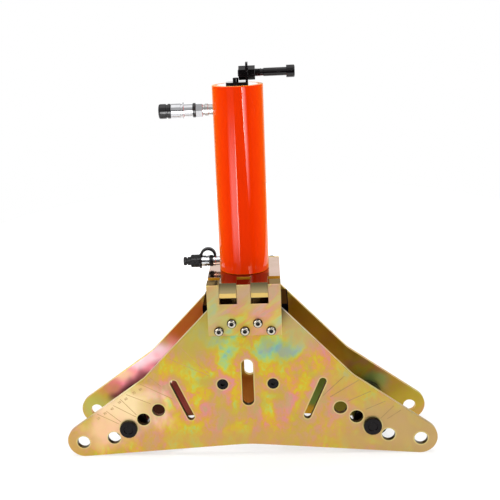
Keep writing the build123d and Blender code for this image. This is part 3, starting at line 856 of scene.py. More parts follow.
@dataclass(frozen=True)
class ZincFilm(Finish):
    """Yellow zinc plating, whose colours follow the thickness of its film.

    Veils tint every face, some of them with painted shade. The inner tints and painted light, and the chalk,
    reach only the faces that look to the front; the top colour paints up-facing faces darker, and a shade
    below one darkens the whole finish.
    """

    name: str
    level: float = 0.55
    swing: float = 1.5
    ripple: float = 0.75
    films: tuple[tuple[Spot, float], ...] = ()
    veils: tuple[tuple[Spot, Colour, float], ...] = ()
    inner_veils: tuple[tuple[Spot, Colour, float], ...] = ()
    haze: Colour = KHAKI
    haze_floor: float = 0.05
    haze_weight: float = 0.6
    top: Colour | None = None
    openings: PlateOpenings | None = None
    scale: float = 26.0
    stretch: Point = (1.0, 1.0, 1.0)
    lean: float = 0.0
    metallic: float = 0.78
    roughness: float = 0.335
    rough_swing: Pair = (-0.05, 0.06)
    glance: Colour = WHITE
    chalk: Spot | None = None
    chalk_metallic: float = 0.1
    rim_ragged: float = 8.0
    rim_reach: Pair = (6.0, 18.0)
    rim_shift: float = 0.19
    rim_band: Pair = (0.8, 2.6)
    rim_weight: float = 0.55
    wall_band: Pair = (0.05, 0.3)
    wall_weight: float = 0.9
    haze_span: Pair = (0.42, 0.66)
    top_gloss: float = 0.4
    shade: float = 1.0
    seed: float = 0.0
    slot: str = "zinc_gold"

    def make(self) -> Material:
        """Makes the plating's material.

        Returns:
            The new material.
        """
        graph = new_graph(self.name)
        turned_place = graph.moved(turn=(0.0, self.lean, 0.0), shift=(self.seed, 0.0, 0.4 * self.seed))
        lay = graph.moved(scale=self.stretch, at=turned_place)
        wide = graph.noise(self.scale, detail=1.8, warp=0.6, at=lay)
        fine = graph.noise(self.scale * 5.0, detail=3.0, warp=0.62, at=lay)
        aside = graph.moved(shift=(0.6, 0.3, 0.8), at=lay)
        soft = graph.noise(self.scale * 0.9, detail=2.0, warp=0.4, at=aside)
        film = graph.math("MULTIPLY_ADD", wide, self.swing, self.level - (self.swing + self.ripple) / 2)
        film = graph.math("MULTIPLY_ADD", fine, self.ripple, film)
        for spot, shift in self.films:
            film = graph.math("MULTIPLY_ADD", spot.mask(graph, wide), shift, film)
        gap = None if self.openings is None else self.openings.distance(graph)
        if gap is not None:
            ragged = graph.math("MULTIPLY_ADD", wide, self.rim_ragged * MM, gap)
            near = graph.band(ragged, self.rim_reach, 1.0)
            film = graph.math("MULTIPLY_ADD", near, self.rim_shift, film)
        colour = graph.ramp(film, FILM_ORDER)
        haze = graph.span(soft, *self.haze_span, self.haze_floor, self.haze_weight)
        colour = graph.mix(haze, colour, self.haze)
        for spot, tint, weight in self.veils:
            colour = graph.mix(graph.math("MULTIPLY", spot.mask(graph, soft), weight), colour, tint)
        if self.inner_veils:
            front = graph.facing(1, -1.0)
            for spot, tint, weight in self.inner_veils:
                share = graph.math("MULTIPLY", spot.mask(graph, soft), weight)
                colour = graph.mix(graph.math("MULTIPLY", share, front), colour, tint)
        if gap is not None:
            colour = graph.mix(graph.band(gap, self.rim_band, self.rim_weight), colour, RIM)
            # Painted shade on the walls inside the holes and slots.
            colour = graph.mix(graph.band(gap, self.wall_band, self.wall_weight), colour, WALL_SHADE)
        metallic = self.metallic
        if self.chalk is not None:
            share = graph.math("MULTIPLY", self.chalk.mask(graph, soft), graph.facing(1, -1.0))
            metallic = graph.span(share, 0.0, 1.0, self.metallic, self.chalk_metallic)
        # Painted reflection: up-facing faces take a darker colour, as tops that mirror dark surroundings.
        if self.top is not None:
            ground = graph.facing(2, 1.0)
            colour = graph.mix(ground, colour, self.top)
            metallic = graph.span(ground, 0.0, 1.0, self.metallic, 1.0)
        # Painted shade: a shade level below one darkens the whole finish towards dark brown.
        if self.shade < 1.0:
            colour = graph.mix(1.0 - self.shade, colour, SHADE_BROWN)
        dull = graph.noise(scale=45.0, detail=3.0)
        roughness = self.rough(graph, dull)
        if self.top is not None:
            gloss = graph.span(ground, 0.0, 1.0, 1.0, self.top_gloss)
            roughness = graph.math("MULTIPLY", roughness, gloss)
        return graph.surface(
            base_color=colour,
            metallic=metallic,
            roughness=roughness,
            specular_tint=self.glance,
        )


@dataclass(frozen=True)
class PolishedZinc(Finish):
    """Ground and plated faces that mirror what stands on them."""

    name: str = "polished_zinc"
    tint: Colour = linear(192, 160, 142)
    second: Colour = linear(182, 152, 126)
    front: Colour = linear(204, 148, 38)
    tongue: Colour = linear(232, 196, 108)
    bevel: Colour = linear(226, 204, 148)
    bevel_top: Colour = linear(138, 124, 90)
    bevel_span: Pair = (274.0, 287.0)
    tongue_depth: float = -65.0
    foot: Pair = (36.0, 39.0)
    foot_shade: Colour = linear(128, 108, 84)
    sawn_metallic: float = 0.25
    roughness: float = 0.08
    dulling: float = 0.06
    slot: str = "zinc_polished"

    def make(self) -> Material:
        """Makes the polished material.

        Returns:
            The new material.
        """
        graph = new_graph(self.name)
        cloud = graph.noise(scale=24.0, detail=3.0, warp=0.5)
        grind = graph.noise(scale=500.0, detail=2.0, at=graph.moved(scale=(1.0, 0.06, 1.0)))
        sawn = graph.facing(1, -1.0)
        for axis, way in ((0, 1.0), (0, -1.0), (1, 1.0)):
            sawn = graph.math("MAXIMUM", sawn, graph.facing(axis, way))
        across, depth, height = graph.split(graph.place)
        near = graph.math(
            "MULTIPLY",
            graph.band(graph.math("ABSOLUTE", across), self.foot, 1.0),
            graph.span(depth, -self.foot[0] * MM, -self.foot[0] * MM / 2, 1.0, 0.0),
        )
        rise = graph.span(height, self.bevel_span[0] * MM, self.bevel_span[1] * MM)
        tongue = graph.span(depth, (self.tongue_depth - 1.0) * MM, self.tongue_depth * MM, 1.0, 0.0)
        ground = graph.mix(graph.span(cloud, 0.4, 0.62), self.tint, self.second)
        ground = graph.mix(near, ground, self.foot_shade)
        # Painted reflection: the tongues' chamfers darken towards their top.
        ground = graph.mix(tongue, ground, graph.mix(rise, self.bevel, self.bevel_top))
        return graph.surface(
            base_color=graph.mix(sawn, ground, graph.mix(tongue, self.front, self.tongue)),
            metallic=graph.span(sawn, 0.0, 1.0, 1.0, self.sawn_metallic),
            roughness=graph.span(cloud, *CLOUD_SPAN, self.roughness, self.roughness + self.dulling),
            normal=graph.bump(grind, strength=0.02, distance=0.05),
        )


@dataclass(frozen=True)
class GlossPaint(Finish):
    """Orange gloss paint with a warm sheen under a clear coat."""

    name: str = "orange_gloss"
    colour: Colour = linear(251, 47, 0)
    second: Colour = linear(248, 43, 0)
    sheen: float = 1.0
    sheen_roughness: float = 0.5
    sheen_tint: Colour = (1.0, 0.4, 0.0)
    roughness: float = 0.45
    rough_swing: Pair = (-0.04, 0.04)
    coat: float = 1.0
    coat_roughness: float = 0.04
    slot: str = "orange_paint"

    def make(self) -> Material:
        """Makes the paint's material.

        Returns:
            The new material.
        """
        graph = new_graph(self.name)
        cloud = graph.noise(scale=14.0, detail=3.0)
        peel = graph.noise(scale=420.0, detail=2.0)
        return graph.surface(
            base_color=graph.mix(graph.span(cloud, *CLOUD_SPAN), self.colour, self.second),
            roughness=self.rough(graph, cloud),
            specular_ior_level=0.0,
            sheen_weight=self.sheen,
            sheen_roughness=self.sheen_roughness,
            sheen_tint=self.sheen_tint,
            coat_weight=self.coat,
            coat_roughness=self.coat_roughness,
            normal=graph.bump(peel, strength=0.03, distance=0.05),
        )


@dataclass(frozen=True)
class BlackSteel(Finish):
    """Blackened steel with a slight oil sheen."""

    name: str = "blackened_steel"
    colour: Colour = (0.0034, 0.002, 0.0028)
    second: Colour = (0.0064, 0.004, 0.0052)
    roughness: float = 0.14
    rough_swing: Pair = (-0.07, 0.1)
    specular: float = 0.5
    ground_top: Colour | None = None
    slot: str = "black_steel"

    def make(self) -> Material:
        """Makes the blackened material.

        Returns:
            The new material.
        """
        graph = new_graph(self.name)
        cloud = graph.noise(scale=90.0, detail=4.0, warp=0.4)
        grain = graph.noise(scale=2200.0, detail=2.0)
        colour = graph.mix(graph.span(cloud, 0.35, 0.7), self.colour, self.second)
        # Painted reflection: up-facing faces take a dark brown in place of what a polished top would mirror.
        if self.ground_top is not None:
            colour = graph.mix(graph.facing(2, 1.0), colour, self.ground_top)
        return graph.surface(
            base_color=colour,
            metallic=0.0,
            specular_ior_level=self.specular,
            roughness=self.rough(graph, cloud),
            normal=graph.bump(grain, strength=0.03, distance=0.03),
        )


@dataclass(frozen=True)
class BareMetal(Finish):
    """Bare, plated or cast metal with fine turning marks along an axis."""

    name: str
    colour: Colour
    second: Colour
    roughness: float
    slot: str
    wear: Pair = (0.8, 1.25)
    grain: Point = (1.0, 1.0, 1.0)

    def make(self) -> Material:
        """Makes the metal's material.

        Returns:
            The new material.
        """
        graph = new_graph(self.name)
        cloud = graph.noise(scale=70.0, detail=3.0, warp=0.3)
        marks = graph.noise(scale=1500.0, detail=2.0, at=graph.moved(scale=self.grain))
        return graph.surface(
            base_color=graph.mix(graph.span(cloud, *CLOUD_SPAN), self.colour, self.second),
            metallic=1.0,
            roughness=graph.span(marks, *NOISE_SPAN, *(self.roughness * share for share in self.wear)),
            normal=graph.bump(marks, strength=0.02, distance=0.02),
        )


@dataclass(frozen=True)
class ButtonHead(Finish):
    """Button-head screws with crowns bright round their sockets, painted shade in the sockets, a painted
    shadow ring round the crowns and flanks tinted like the bracket, in millimetres.
    """

    places: tuple[Pair, ...]
    name: str = "button_head"
    bright: Colour = linear(204, 196, 180)
    dark: Colour = linear(26, 18, 16)
    side: Colour = linear(150, 128, 96)
    socket: float = 3.0
    crown: float = 5.6
    rim: float = 7.0
    rim_fade: float = 0.1
    fade: float = 0.35
    dark_metallic: float = 0.2
    roughness: float = 0.12
    rough_swing: Pair = (0.0, 0.1)
    slot: str = "bright_steel"

    def make(self) -> Material:
        """Makes the screws' material.

        Returns:
            The new material.
        """
        graph = new_graph(self.name)
        across, _, height = graph.split(graph.place)
        place = graph.node("CombineXYZ", across, 0.0, height)
        reach = graph.least(
            [graph.vector("DISTANCE", place, (x * MM, 0.0, z * MM)) for x, z in self.places]
        )
        outside = graph.span(reach, self.socket * MM, (self.socket + self.fade) * MM)
        inside = graph.band(reach, (self.crown, self.crown + self.fade), 1.0)
        bright_crown = graph.math("MULTIPLY", outside, inside)
        marks = graph.noise(scale=900.0, detail=2.0)
        flank = graph.span(reach, self.rim * MM, (self.rim + self.rim_fade) * MM)
        return graph.surface(
            # Painted shade in the socket and a painted shadow ring beyond the crown; the flank is painted the
            # bracket's tan so the head's side shows no shade.
            base_color=graph.mix(flank, graph.mix(bright_crown, self.dark, self.bright), self.side),
            metallic=graph.math("MAXIMUM", graph.span(bright_crown, 0.0, 1.0, self.dark_metallic, 1.0), flank),
            roughness=self.rough(graph, marks),
        )


@dataclass(frozen=True)
class BlackRubber(Finish):
    """Moulded black rubber or plastic with a dull shine."""

    name: str = "moulded_rubber"
    colour: Colour = (0.0026, 0.0022, 0.0028)
    second: Colour = (0.006, 0.005, 0.0056)
    roughness: float = 0.12
    rough_swing: Pair = (-0.04, 0.06)
    specular: float = 0.7
    slot: str = "black_rubber"

    def make(self) -> Material:
        """Makes the rubber's material.

        Returns:
            The new material.
        """
        graph = new_graph(self.name)
        cloud = graph.noise(scale=160.0, detail=3.0)
        grain = graph.noise(scale=1800.0, detail=3.0)
        return graph.surface(
            base_color=graph.mix(graph.span(cloud, *NOISE_SPAN), self.colour, self.second),
            specular_ior_level=self.specular,
            roughness=self.rough(graph, cloud),
            normal=graph.bump(grain, strength=0.03, distance=0.03),
        )


FRONT_ZINC = ZincFilm(
    name="zinc_front_plate",
    level=0.57,
    films=(
        (Spot(-30.0, 184.0, 40.0, 30.0), -0.14),
        (Spot(42.0, 186.0, 44.0, 26.0), -0.3),
        (Spot(64.0, 162.0, 26.0, 18.0), -0.26),
        (Spot(-128.0, 108.0, 30.0, 44.0), 0.22),
        (Spot(-146.0, 52.0, 36.0, 26.0), 0.2),
        (Spot(-128.0, 88.0, 14.0, 12.0), -0.34),
        (Spot(120.0, 70.0, 26.0, 50.0), 0.14),
        (Spot(0.0, 76.0, 170.0, 60.0, 0.6), 0.07),
    ),
    veils=(
        # Painted shadow on the plate behind the bracket's notches.
        (Spot(0.0, 266.0, 60.0, 54.0, 0.7), SHADOW, 1.0),
        (Spot(-84.0, 204.0, 46.0, 56.0, 0.4), KHAKI, 0.85),
        (Spot(-62.0, 124.0, 16.0, 12.0), KHAKI, 0.7),
        (Spot(84.0, 204.0, 34.0, 40.0), BEIGE, 0.75),
        # The left wing's cream and peach are partly plating tint and partly painted light; the right wing's
        # duller tan is partly painted shade.
        (Spot(-190.0, 84.0, 70.0, 50.0), CREAM, 0.9),
        (Spot(-226.0, 44.0, 56.0, 36.0), PEACH, 0.85),
        (Spot(-276.0, 22.0, 36.0, 36.0), TAN, 0.9),
        (Spot(214.0, 50.0, 96.0, 64.0), DULL_TAN, 0.95),
        (Spot(150.0, 118.0, 46.0, 34.0), TAN, 0.7),
        (Spot(0.0, 26.0, 190.0, 20.0), TAN, 0.7),
        (Spot(276.0, 22.0, 40.0, 40.0, 0.5), DULL_TAN, 0.9),
    ),
    openings=PlateOpenings(),
    stretch=(1.15, 1.0, 0.85),
)
REAR_ZINC = ZincFilm(
    name="zinc_rear_plate",
    level=0.6,
    swing=1.2,
    ripple=0.4,
    # Painted light and plating tints together on the face between the plates.
    inner_veils=(
        (Spot(-100.0, 182.0, 50.0, 50.0, 0.5), linear(222, 116, 56), 0.85),
        # Painted highlight: pink and pale pink across the upper left band.
        (Spot(-182.0, 101.0, 80.0, 62.0, 0.6), linear(255, 146, 166), 0.95),
        (Spot(-154.0, 135.0, 26.0, 14.0, 0.3), PALE_PINK_HIGHLIGHT, 0.9),
        (Spot(-174.0, 123.0, 28.0, 14.0, 0.3), PALE_PINK_HIGHLIGHT, 0.9),
        (Spot(-194.0, 111.0, 26.0, 14.0, 0.3), PALE_PINK_HIGHLIGHT, 0.9),
        (Spot(-220.0, 92.0, 26.0, 16.0, 0.3), linear(255, 214, 170), 0.9),
        # Painted shade: wine along the front plate's edge.
        (Spot(-169.0, 83.0, 20.0, 14.0, 0.3), WINE_SHADE, 0.92),
        (Spot(-188.0, 70.0, 20.0, 14.0, 0.3), WINE_SHADE, 0.92),
        (Spot(-207.0, 56.0, 20.0, 14.0, 0.3), WINE_SHADE, 0.92),
        (Spot(-225.0, 45.0, 20.0, 14.0, 0.3), WINE_SHADE, 0.92),
        (Spot(-262.0, 30.0, 34.0, 26.0, 0.4), linear(186, 192, 96), 0.75),
        (Spot(116.0, 160.0, 90.0, 80.0, 0.6), UMBER, 0.85),
        (Spot(208.0, 72.0, 24.0, 18.0, 0.4), linear(150, 200, 116), 0.75),
        (Spot(256.0, 40.0, 50.0, 40.0, 0.4), linear(176, 154, 52), 0.7),
        # Painted shade low between the plates, with tinted spots where the holes and slots look in.
        (Spot(-60.0, 40.0, 130.0, 66.0, 0.7), MAROON_SHADE, 0.95),
        (Spot(124.0, 34.0, 70.0, 56.0, 0.7), OLIVE_SHADE, 0.95),
        (Spot(-117.0, 45.0, 24.0, 42.0, 0.6), linear(138, 58, 52), 0.9),
        (Spot(-6.0, 58.0, 26.0, 42.0, 0.6), linear(152, 86, 18), 0.9),
        (Spot(110.0, 50.0, 24.0, 30.0, 0.5), linear(100, 122, 52), 0.85),
        (Spot(98.0, 14.0, 14.0, 14.0, 0.5), linear(190, 138, 24), 0.8),
        (Spot(-160.0, 22.0, 18.0, 18.0, 0.5), linear(62, 26, 14), 0.9),
    ),
    chalk=Spot(-172.0, 108.0, 74.0, 56.0, 0.6),
    scale=18.0,
    seed=1.7,
)
BRACKET_ZINC = ZincFilm(
    name="zinc_bracket",
    level=0.56,
    swing=1.7,
    ripple=0.4,
    films=(
        (Spot(30.0, 243.0, 22.0, 18.0), 0.28),
        (Spot(46.0, 230.0, 16.0, 20.0), -0.22),
        (Spot(-20.0, 211.0, 10.0, 8.0), -0.3),
        (Spot(-40.0, 250.0, 16.0, 8.0), -0.1),
        (Spot(18.0, 216.0, 22.0, 10.0), 0.2),
    ),
    veils=(
        (Spot(-44.0, 232.0, 32.0, 40.0), linear(192, 182, 128), 0.6),
        (Spot(0.0, 276.0, 80.0, 24.0), linear(206, 176, 134), 0.75),
        (Spot(40.0, 246.0, 34.0, 44.0, 0.6), linear(250, 206, 168), 0.22),
    ),
    haze=linear(214, 186, 150),
    haze_floor=0.1,
    haze_weight=0.55,
    # Painted reflection: the bracket's post tops are dark brown.
    top=linear(134, 110, 76),
    glance=(0.65, 0.6, 0.5),
    scale=44.0,
    stretch=(0.45, 1.0, 1.5),
    lean=math.radians(38),
    metallic=0.7,
    seed=0.5,
)
# Painted shade: the guide strips between the plates are darkened by a shade of 0.85.
STRIP_ZINC = ZincFilm(name="zinc_strips", haze_weight=0.8, shade=0.85, seed=2.9)
FLANGE_ZINC = PolishedZinc()
PAINT = GlossPaint()
BLACK = BlackSteel()
DULL_BLACK = BlackSteel(name="dull_black_steel", specular=0.18, roughness=0.13)
# The former's top face carries a painted brown reflection.
FORMER_STEEL = BlackSteel(name="former_steel", specular=0.0, ground_top=linear(70, 44, 16))
RUBBER = BlackRubber()
SOFT_RUBBER = BlackRubber(name="soft_rubber", specular=0.3, roughness=0.22)
SEAL = BlackRubber(name="dull_rubber", roughness=0.6, slot="seal_rubber")
CHROME = BareMetal(
    name="plated_chrome",
    colour=(0.74, 0.74, 0.76),
    second=(0.68, 0.68, 0.7),
    roughness=0.07,
    slot="chrome",
    grain=(1.0, 0.05, 0.05),
)
STEEL = BareMetal(
    name="turned_steel",
    colour=(0.66, 0.65, 0.63),
    second=(0.58, 0.57, 0.56),
    roughness=0.22,
    slot="bright_steel",
    grain=(1.0, 0.1, 0.1),
)
CAP_STEEL = BareMetal(
    name="cap_steel",
    colour=(0.76, 0.745, 0.735),
    second=(0.68, 0.665, 0.655),
    roughness=0.16,
    slot="bright_steel",
)
WEAR = BlackRubber(
    name="moulded_plastic",
    colour=(0.3, 0.22, 0.12),
    second=(0.26, 0.18, 0.1),
    roughness=0.5,
    slot="wear_plastic",
)
BRONZE = BareMetal(
    name="bearing_bronze",
    colour=(0.55, 0.38, 0.16),
    second=(0.46, 0.3, 0.12),
    roughness=0.3,
    slot="bush_bronze",
    grain=(1.0, 0.1, 1.0),
)
ENGRAVING = BareMetal(
    name="engraved_line",
    colour=linear(206, 166, 112),
    second=linear(194, 152, 102),
    roughness=0.5,
    slot="zinc_gold",
)
DARK_ENGRAVING = BareMetal(
    name="dark_engraved_line",
    colour=linear(176, 148, 104),
    second=linear(164, 136, 94),
    roughness=0.5,
    slot="zinc_gold",
)


@dataclass(frozen=True)
class CapScrew:
    """A cap screw with a hexagon socket, in millimetres."""

    head: float
    height: float
    shank: float
    grip: float
    tip: float
    rim: float
    socket: float
    depth: float
    sides: int

    def turn(self, name: str, face: float, direction: Direction, centre: Point) -> Piece:
        """Turns the screw and cuts its socket.

        Args:
            name: The screw's name.
            face: Where its head sits along its axis, in millimetres.
            direction: The axis that it lies along.
            centre: A point of that axis, in millimetres.

        Returns:
            The screw.
        """
        end = face - self.grip
        top = face + self.height
        radius = self.head / 2
        shank = self.shank / 2
        profile = [
            (end, shank - self.tip),
            (end + self.tip, shank - SHANK_GAP),
            (face, shank - SHANK_GAP),
            (face, radius),
            *far_edge(top, radius, self.rim),
        ]
        screw = turned(name, profile, direction, centre, self.sides)
        reach = (top + OVERCUT, top - self.depth)
        drill(screw, hexagon_radius(self.socket), reach, direction, centre, HEXAGON)
        return screw


@dataclass
class SidePlates:
    """The two winged side plates, their guide strips and the strips' screws."""

    edge: float = 0.45
    outer: float = 58.75
    screw_x: float = 38.5
    screw_z: float = 119.4
    screw_head: float = 17.0
    screw_head_gap: float = 0.05
    screw_rim: Pair = (0.25, 0.3)
    screw_shank: float = 10.0
    screw_length: float = 18.0
    screw_tip: float = 1.0
    screw_socket: float = 6.0
    screw_socket_depth: float = 3.0
    screw_countersink: float = 3.5
    screw_sides: int = 48

    def build(self) -> None:
        """Builds and dresses the plates, the strips and the screws."""
        dress("front_plate", "winged_plate_front", self.edge, Body.FRAME, FRONT_ZINC)
        dress("rear_plate", "winged_plate_rear", self.edge, Body.FRAME, REAR_ZINC)
        dress("guide_strips", "guide_strip_set", self.edge, Body.FRAME, STRIP_ZINC)
        seat(self.screws(), Body.FRAME, DULL_BLACK, ["guide_strip_screws"])

    def screws(self) -> Piece:
        """Turns one countersunk screw for each plate and copies it to the right.

        Returns:
            The four screws as one piece.
        """
        radius = self.screw_head / 2
        shank = self.screw_shank / 2
        rim_depth, rim = self.screw_rim
        screws = []
        for plate, face, inward in (("front", -self.outer, 1.0), ("rear", self.outer, -1.0)):
            centre = (-self.screw_x, face, self.screw_z)
            profile = [
                (0.0, radius - rim),
                (rim_depth * inward, radius - self.screw_head_gap),
                (self.screw_countersink * inward, shank - SHANK_GAP),
                ((self.screw_length - self.screw_tip) * inward, shank - SHANK_GAP),
                (self.screw_length * inward, shank - self.screw_tip),
            ]
            screw = turned(f"strip_screw_{plate}", profile, Direction.Y, centre, self.screw_sides)
            reach = (-OVERCUT * inward, self.screw_socket_depth * inward)
            drill(screw, hexagon_radius(self.screw_socket), reach, Direction.Y, centre, HEXAGON)
            screws += [screw, copied(screw, f"{screw.name}_right", (2 * self.screw_x, 0.0, 0.0))]
        return joined("strip_screw_set", screws)


@dataclass
class BendingRollers:
    """The removable pins, the rollers on them and the rollers' bushes."""

    pin_x: float = 188.511
    pin_z: float = 46.874
    pin_radius: float = 9.95
    pin_tip: float = 2.0
    pin_sides: int = 72
    outer: float = 58.75
    head_gap: float = 0.3
    head_height: float = 5.0
    head_radius: float = 13.75
    head_break: float = 0.4
    dish_radius: float = 7.5
    dish_depth: float = 1.5
    dish_floor: Pair = (0.55, 0.88)
    dish_lip: Pair = (0.1, 0.4)
    tail: float = 24.0
    clip_hole: float = 2.5
    clip_reach: Pair = (-15.0, 15.0)
    clip_sides: int = 24
    roller_radius: float = 28.0
    roller_half: float = 44.0
    roller_break: float = 1.5
    roller_sides: int = 80
    bush_radius: float = 14.0
    bush_length: float = 28.0
    bush_collar: float = 16.0
    bush_bore: float = 10.0
    bush_break: float = 0.4
    bush_sides: int = 56
    collar: float = 6.4

    def build(self) -> None:
        """Builds both hands of pins, rollers and bushes."""
        for side, pin_body, roller_body in (
            (Side.LEFT, Body.PIN_LEFT, Body.ROLLER_LEFT),
            (Side.RIGHT, Body.PIN_RIGHT, Body.ROLLER_RIGHT),
        ):
            hand = side.name.lower()
            centre = (side.value * self.pin_x, 0.0, self.pin_z)
            seat(self.pin(hand, centre), pin_body, DULL_BLACK, [f"bending_pin_{hand}"])
            seat(self.roller(hand, centre), roller_body, DULL_BLACK, [f"roller_{hand}"])
            seat(self.bushes(hand, centre), roller_body, BRONZE, [f"roller_bushes_{hand}"])

    def pin(self, hand: str, centre: Point) -> Piece:
        """Turns one pin with its dished head and drills its tail.

        Args:
            hand: The hand's name.
            centre: The middle of its axis, in millimetres.

        Returns:
            The pin.
        """
        face = -self.outer - self.head_gap - self.head_height
        seat_face = face + self.head_height
        end = self.outer + self.tail
        radius = self.pin_radius
        lip_depth, lip = self.dish_lip
        profile = [
            *((face + self.dish_depth, self.dish_radius * share) for share in self.dish_floor),
            (face + lip_depth, self.dish_radius),
            (face, self.dish_radius + lip),
            *((face + along, self.head_radius - drop) for along, drop in ROUND_CORNER),
            *far_edge(seat_face, self.head_radius, self.head_break),
            (seat_face, radius),
            *far_edge(end, radius, self.pin_tip),
        ]
        piece = turned(f"pin_{hand}", profile, Direction.Y, centre, self.pin_sides)
        clip_place = (centre[0], self.outer + self.tail / 2, centre[2])
        drill(piece, self.clip_hole, self.clip_reach, Direction.X, clip_place, self.clip_sides)
        return piece

    def roller(self, hand: str, centre: Point) -> Piece:
        """Turns one roller with its bore and its chamfered ends.

        Args:
            hand: The hand's name.
            centre: The middle of its axis, in millimetres.

        Returns:
            The roller.
        """
        half = self.roller_half
        outer = self.roller_radius
        bore = self.bush_radius
        profile = [
            (-half, bore),
            *near_edge(-half, outer, self.roller_break),
            *far_edge(half, outer, self.roller_break),
            (half, bore),
        ]
        return turned(f"roller_{hand}_turned", profile, Direction.Y, centre, self.roller_sides, hollow=True)

    def bushes(self, hand: str, centre: Point) -> Piece:
        """Turns one collared bush and its twin at the roller's other end.

        Args:
            hand: The hand's name.
            centre: The middle of the roller's axis, in millimetres.

        Returns:
            Both bushes as one piece.
        """
        bushes = []
        for way in (-1.0, 1.0):
            inner = (self.roller_half - self.bush_length) * way
            mouth = self.roller_half * way
            end = (self.roller_half + self.collar) * way
            profile = [
                (inner, self.bush_bore),
                (inner, self.bush_radius),
                (mouth, self.bush_radius),
                (mouth, self.bush_collar),
                (end - self.bush_break * way, self.bush_collar),
                (end, self.bush_collar - self.bush_break),
                (end, self.bush_bore),
            ]
            bushes.append(
                turned(f"bush_{hand}", profile, Direction.Y, centre, self.bush_sides, hollow=True)
            )
        return joined(f"bush_pair_{hand}", bushes)


@dataclass
class HeadBlock:
    """The hinge bracket, the cylinder flange and their screws and pin."""

    edge: float = 0.5
    flange_edge: float = 0.6
    face: float = -83.75
    bottom: float = 208.2
    pitch: float = 19.2
    low: float = 8.0
    high: float = 19.8
    screw_head: float = 14.4
    screw_height: float = 4.4
    screw_dome: float = 3.0
    screw_dome_steps: int = 8
    screw_rim: float = 0.3
    screw_shank: float = 8.0
    screw_tip: float = 0.8
    screw_grip: float = 33.0
    screw_socket: float = 5.0
    screw_socket_depth: float = 2.6
    screw_break: float = 0.12
    screw_sides: int = 48
    rear_face: float = 58.75
    rear_screw: CapScrew = CapScrew(
        head=16.0, height=10.0, shank=10.0, grip=22.0, tip=1.0, rim=0.8, socket=8.0, depth=5.0, sides=48
    )
    rear_break: float = 0.15
    rear_z: float = 277.0
    rear_places: tuple[float, ...] = (-42.0, -15.0, 15.0, 42.0)
    break_angle: float = 40.0
    pin_y: float = -68.25
    pin_z: float = 277.0
    pin_radius: float = 6.0
    pin_break: float = 0.8
    pin_centre: tuple[float, float, float] = (1.2, 0.6, 1.6)
    pin_sides: int = 40
    half_width: float = 54.0

    def build(self) -> None:
        """Builds the block's pieces."""
        dress("hinge_bracket", "bracket_block", self.edge, Body.FRAME, BRACKET_ZINC)
        dress("cylinder_flange", "flange_block", self.flange_edge, Body.FRAME, FLANGE_ZINC)
        seat(self.bracket_screws(), Body.FRAME, ButtonHead(tuple(self.screw_places())), ["bracket_screws"])
        seat(self.rear_screws(), Body.FRAME, BLACK, ["rear_screws"])
        seat(self.hinge_pin(), Body.FRAME, STEEL, ["hinge_pin"])

    def bracket_screws(self) -> Piece:
        """Turns one button-head screw, cuts its socket and copies it to five places.

        Returns:
            The five screws as one piece.
        """
        radius = self.screw_head / 2
        shank = self.screw_shank / 2
        face = self.face
        top = face - self.screw_height
        profile = [
            (face + self.screw_grip, shank - self.screw_tip),
            (face + self.screw_grip - self.screw_tip, shank),
            (face, shank),
            (face, radius - self.screw_rim),
            (face - self.screw_rim, radius),
        ]
        for step in range(self.screw_dome_steps + 1):
            turn = math.pi / 2 * step / self.screw_dome_steps
            rise = self.screw_dome * (1.0 - math.sin(turn))
            profile.append((top + rise, radius - self.screw_dome * (1.0 - math.cos(turn))))
        x, z = self.screw_places()[0]
        centre = (x, 0.0, z)
        screw = turned("button_screw", profile, Direction.Y, centre, self.screw_sides)
        reach = (top - OVERCUT, top + self.screw_socket_depth)
        drill(screw, hexagon_radius(self.screw_socket), reach, Direction.Y, centre, HEXAGON)
        round_edges(screw, self.screw_break, angle=self.break_angle)
        screws = [screw]
        for place, (right, up) in enumerate(self.screw_places()[1:]):
            screws.append(copied(screw, f"button_screw_{place}", (right - x, 0.0, up - z)))
        return joined("button_screw_set", screws)

    def screw_places(self) -> list[Pair]:
        """Gives the places of the bracket's screws.

        Returns:
            X and Z of each screw, in millimetres.
        """
        return [
            (place * self.pitch, self.bottom + (self.low if place % 2 == 0 else self.high))
            for place in (-2, -1, 0, 1, 2)
        ]

    def rear_screws(self) -> Piece:
        """Turns one cap screw and copies it along the tab.

        Returns:
            The four screws as one piece.
        """
        first = self.rear_places[0]
        centre = (first, 0.0, self.rear_z)
        screw = self.rear_screw.turn("tab_screw", self.rear_face, Direction.Y, centre)
        round_edges(screw, self.rear_break, angle=self.break_angle)
        screws = [screw]
        for place, right in enumerate(self.rear_places[1:]):
            screws.append(copied(screw, f"tab_screw_{place}", (right - first, 0.0, 0.0)))
        return joined("tab_screw_set", screws)

    def hinge_pin(self) -> Piece:
        """Turns the hinge pin with chamfered, centre-drilled ends.

        Returns:
            The pin.
        """
        half = self.half_width
        radius = self.pin_radius
        depth, tip, mouth = self.pin_centre
        profile = [
            (-half + depth, tip),
            (-half, mouth),
            *near_edge(-half, radius, self.pin_break),
            *far_edge(half, radius, self.pin_break),
            (half, mouth),
            (half - depth, tip),
        ]
        return turned("hinge_pin_turned", profile, Direction.X, (0.0, self.pin_y, self.pin_z), self.pin_sides)


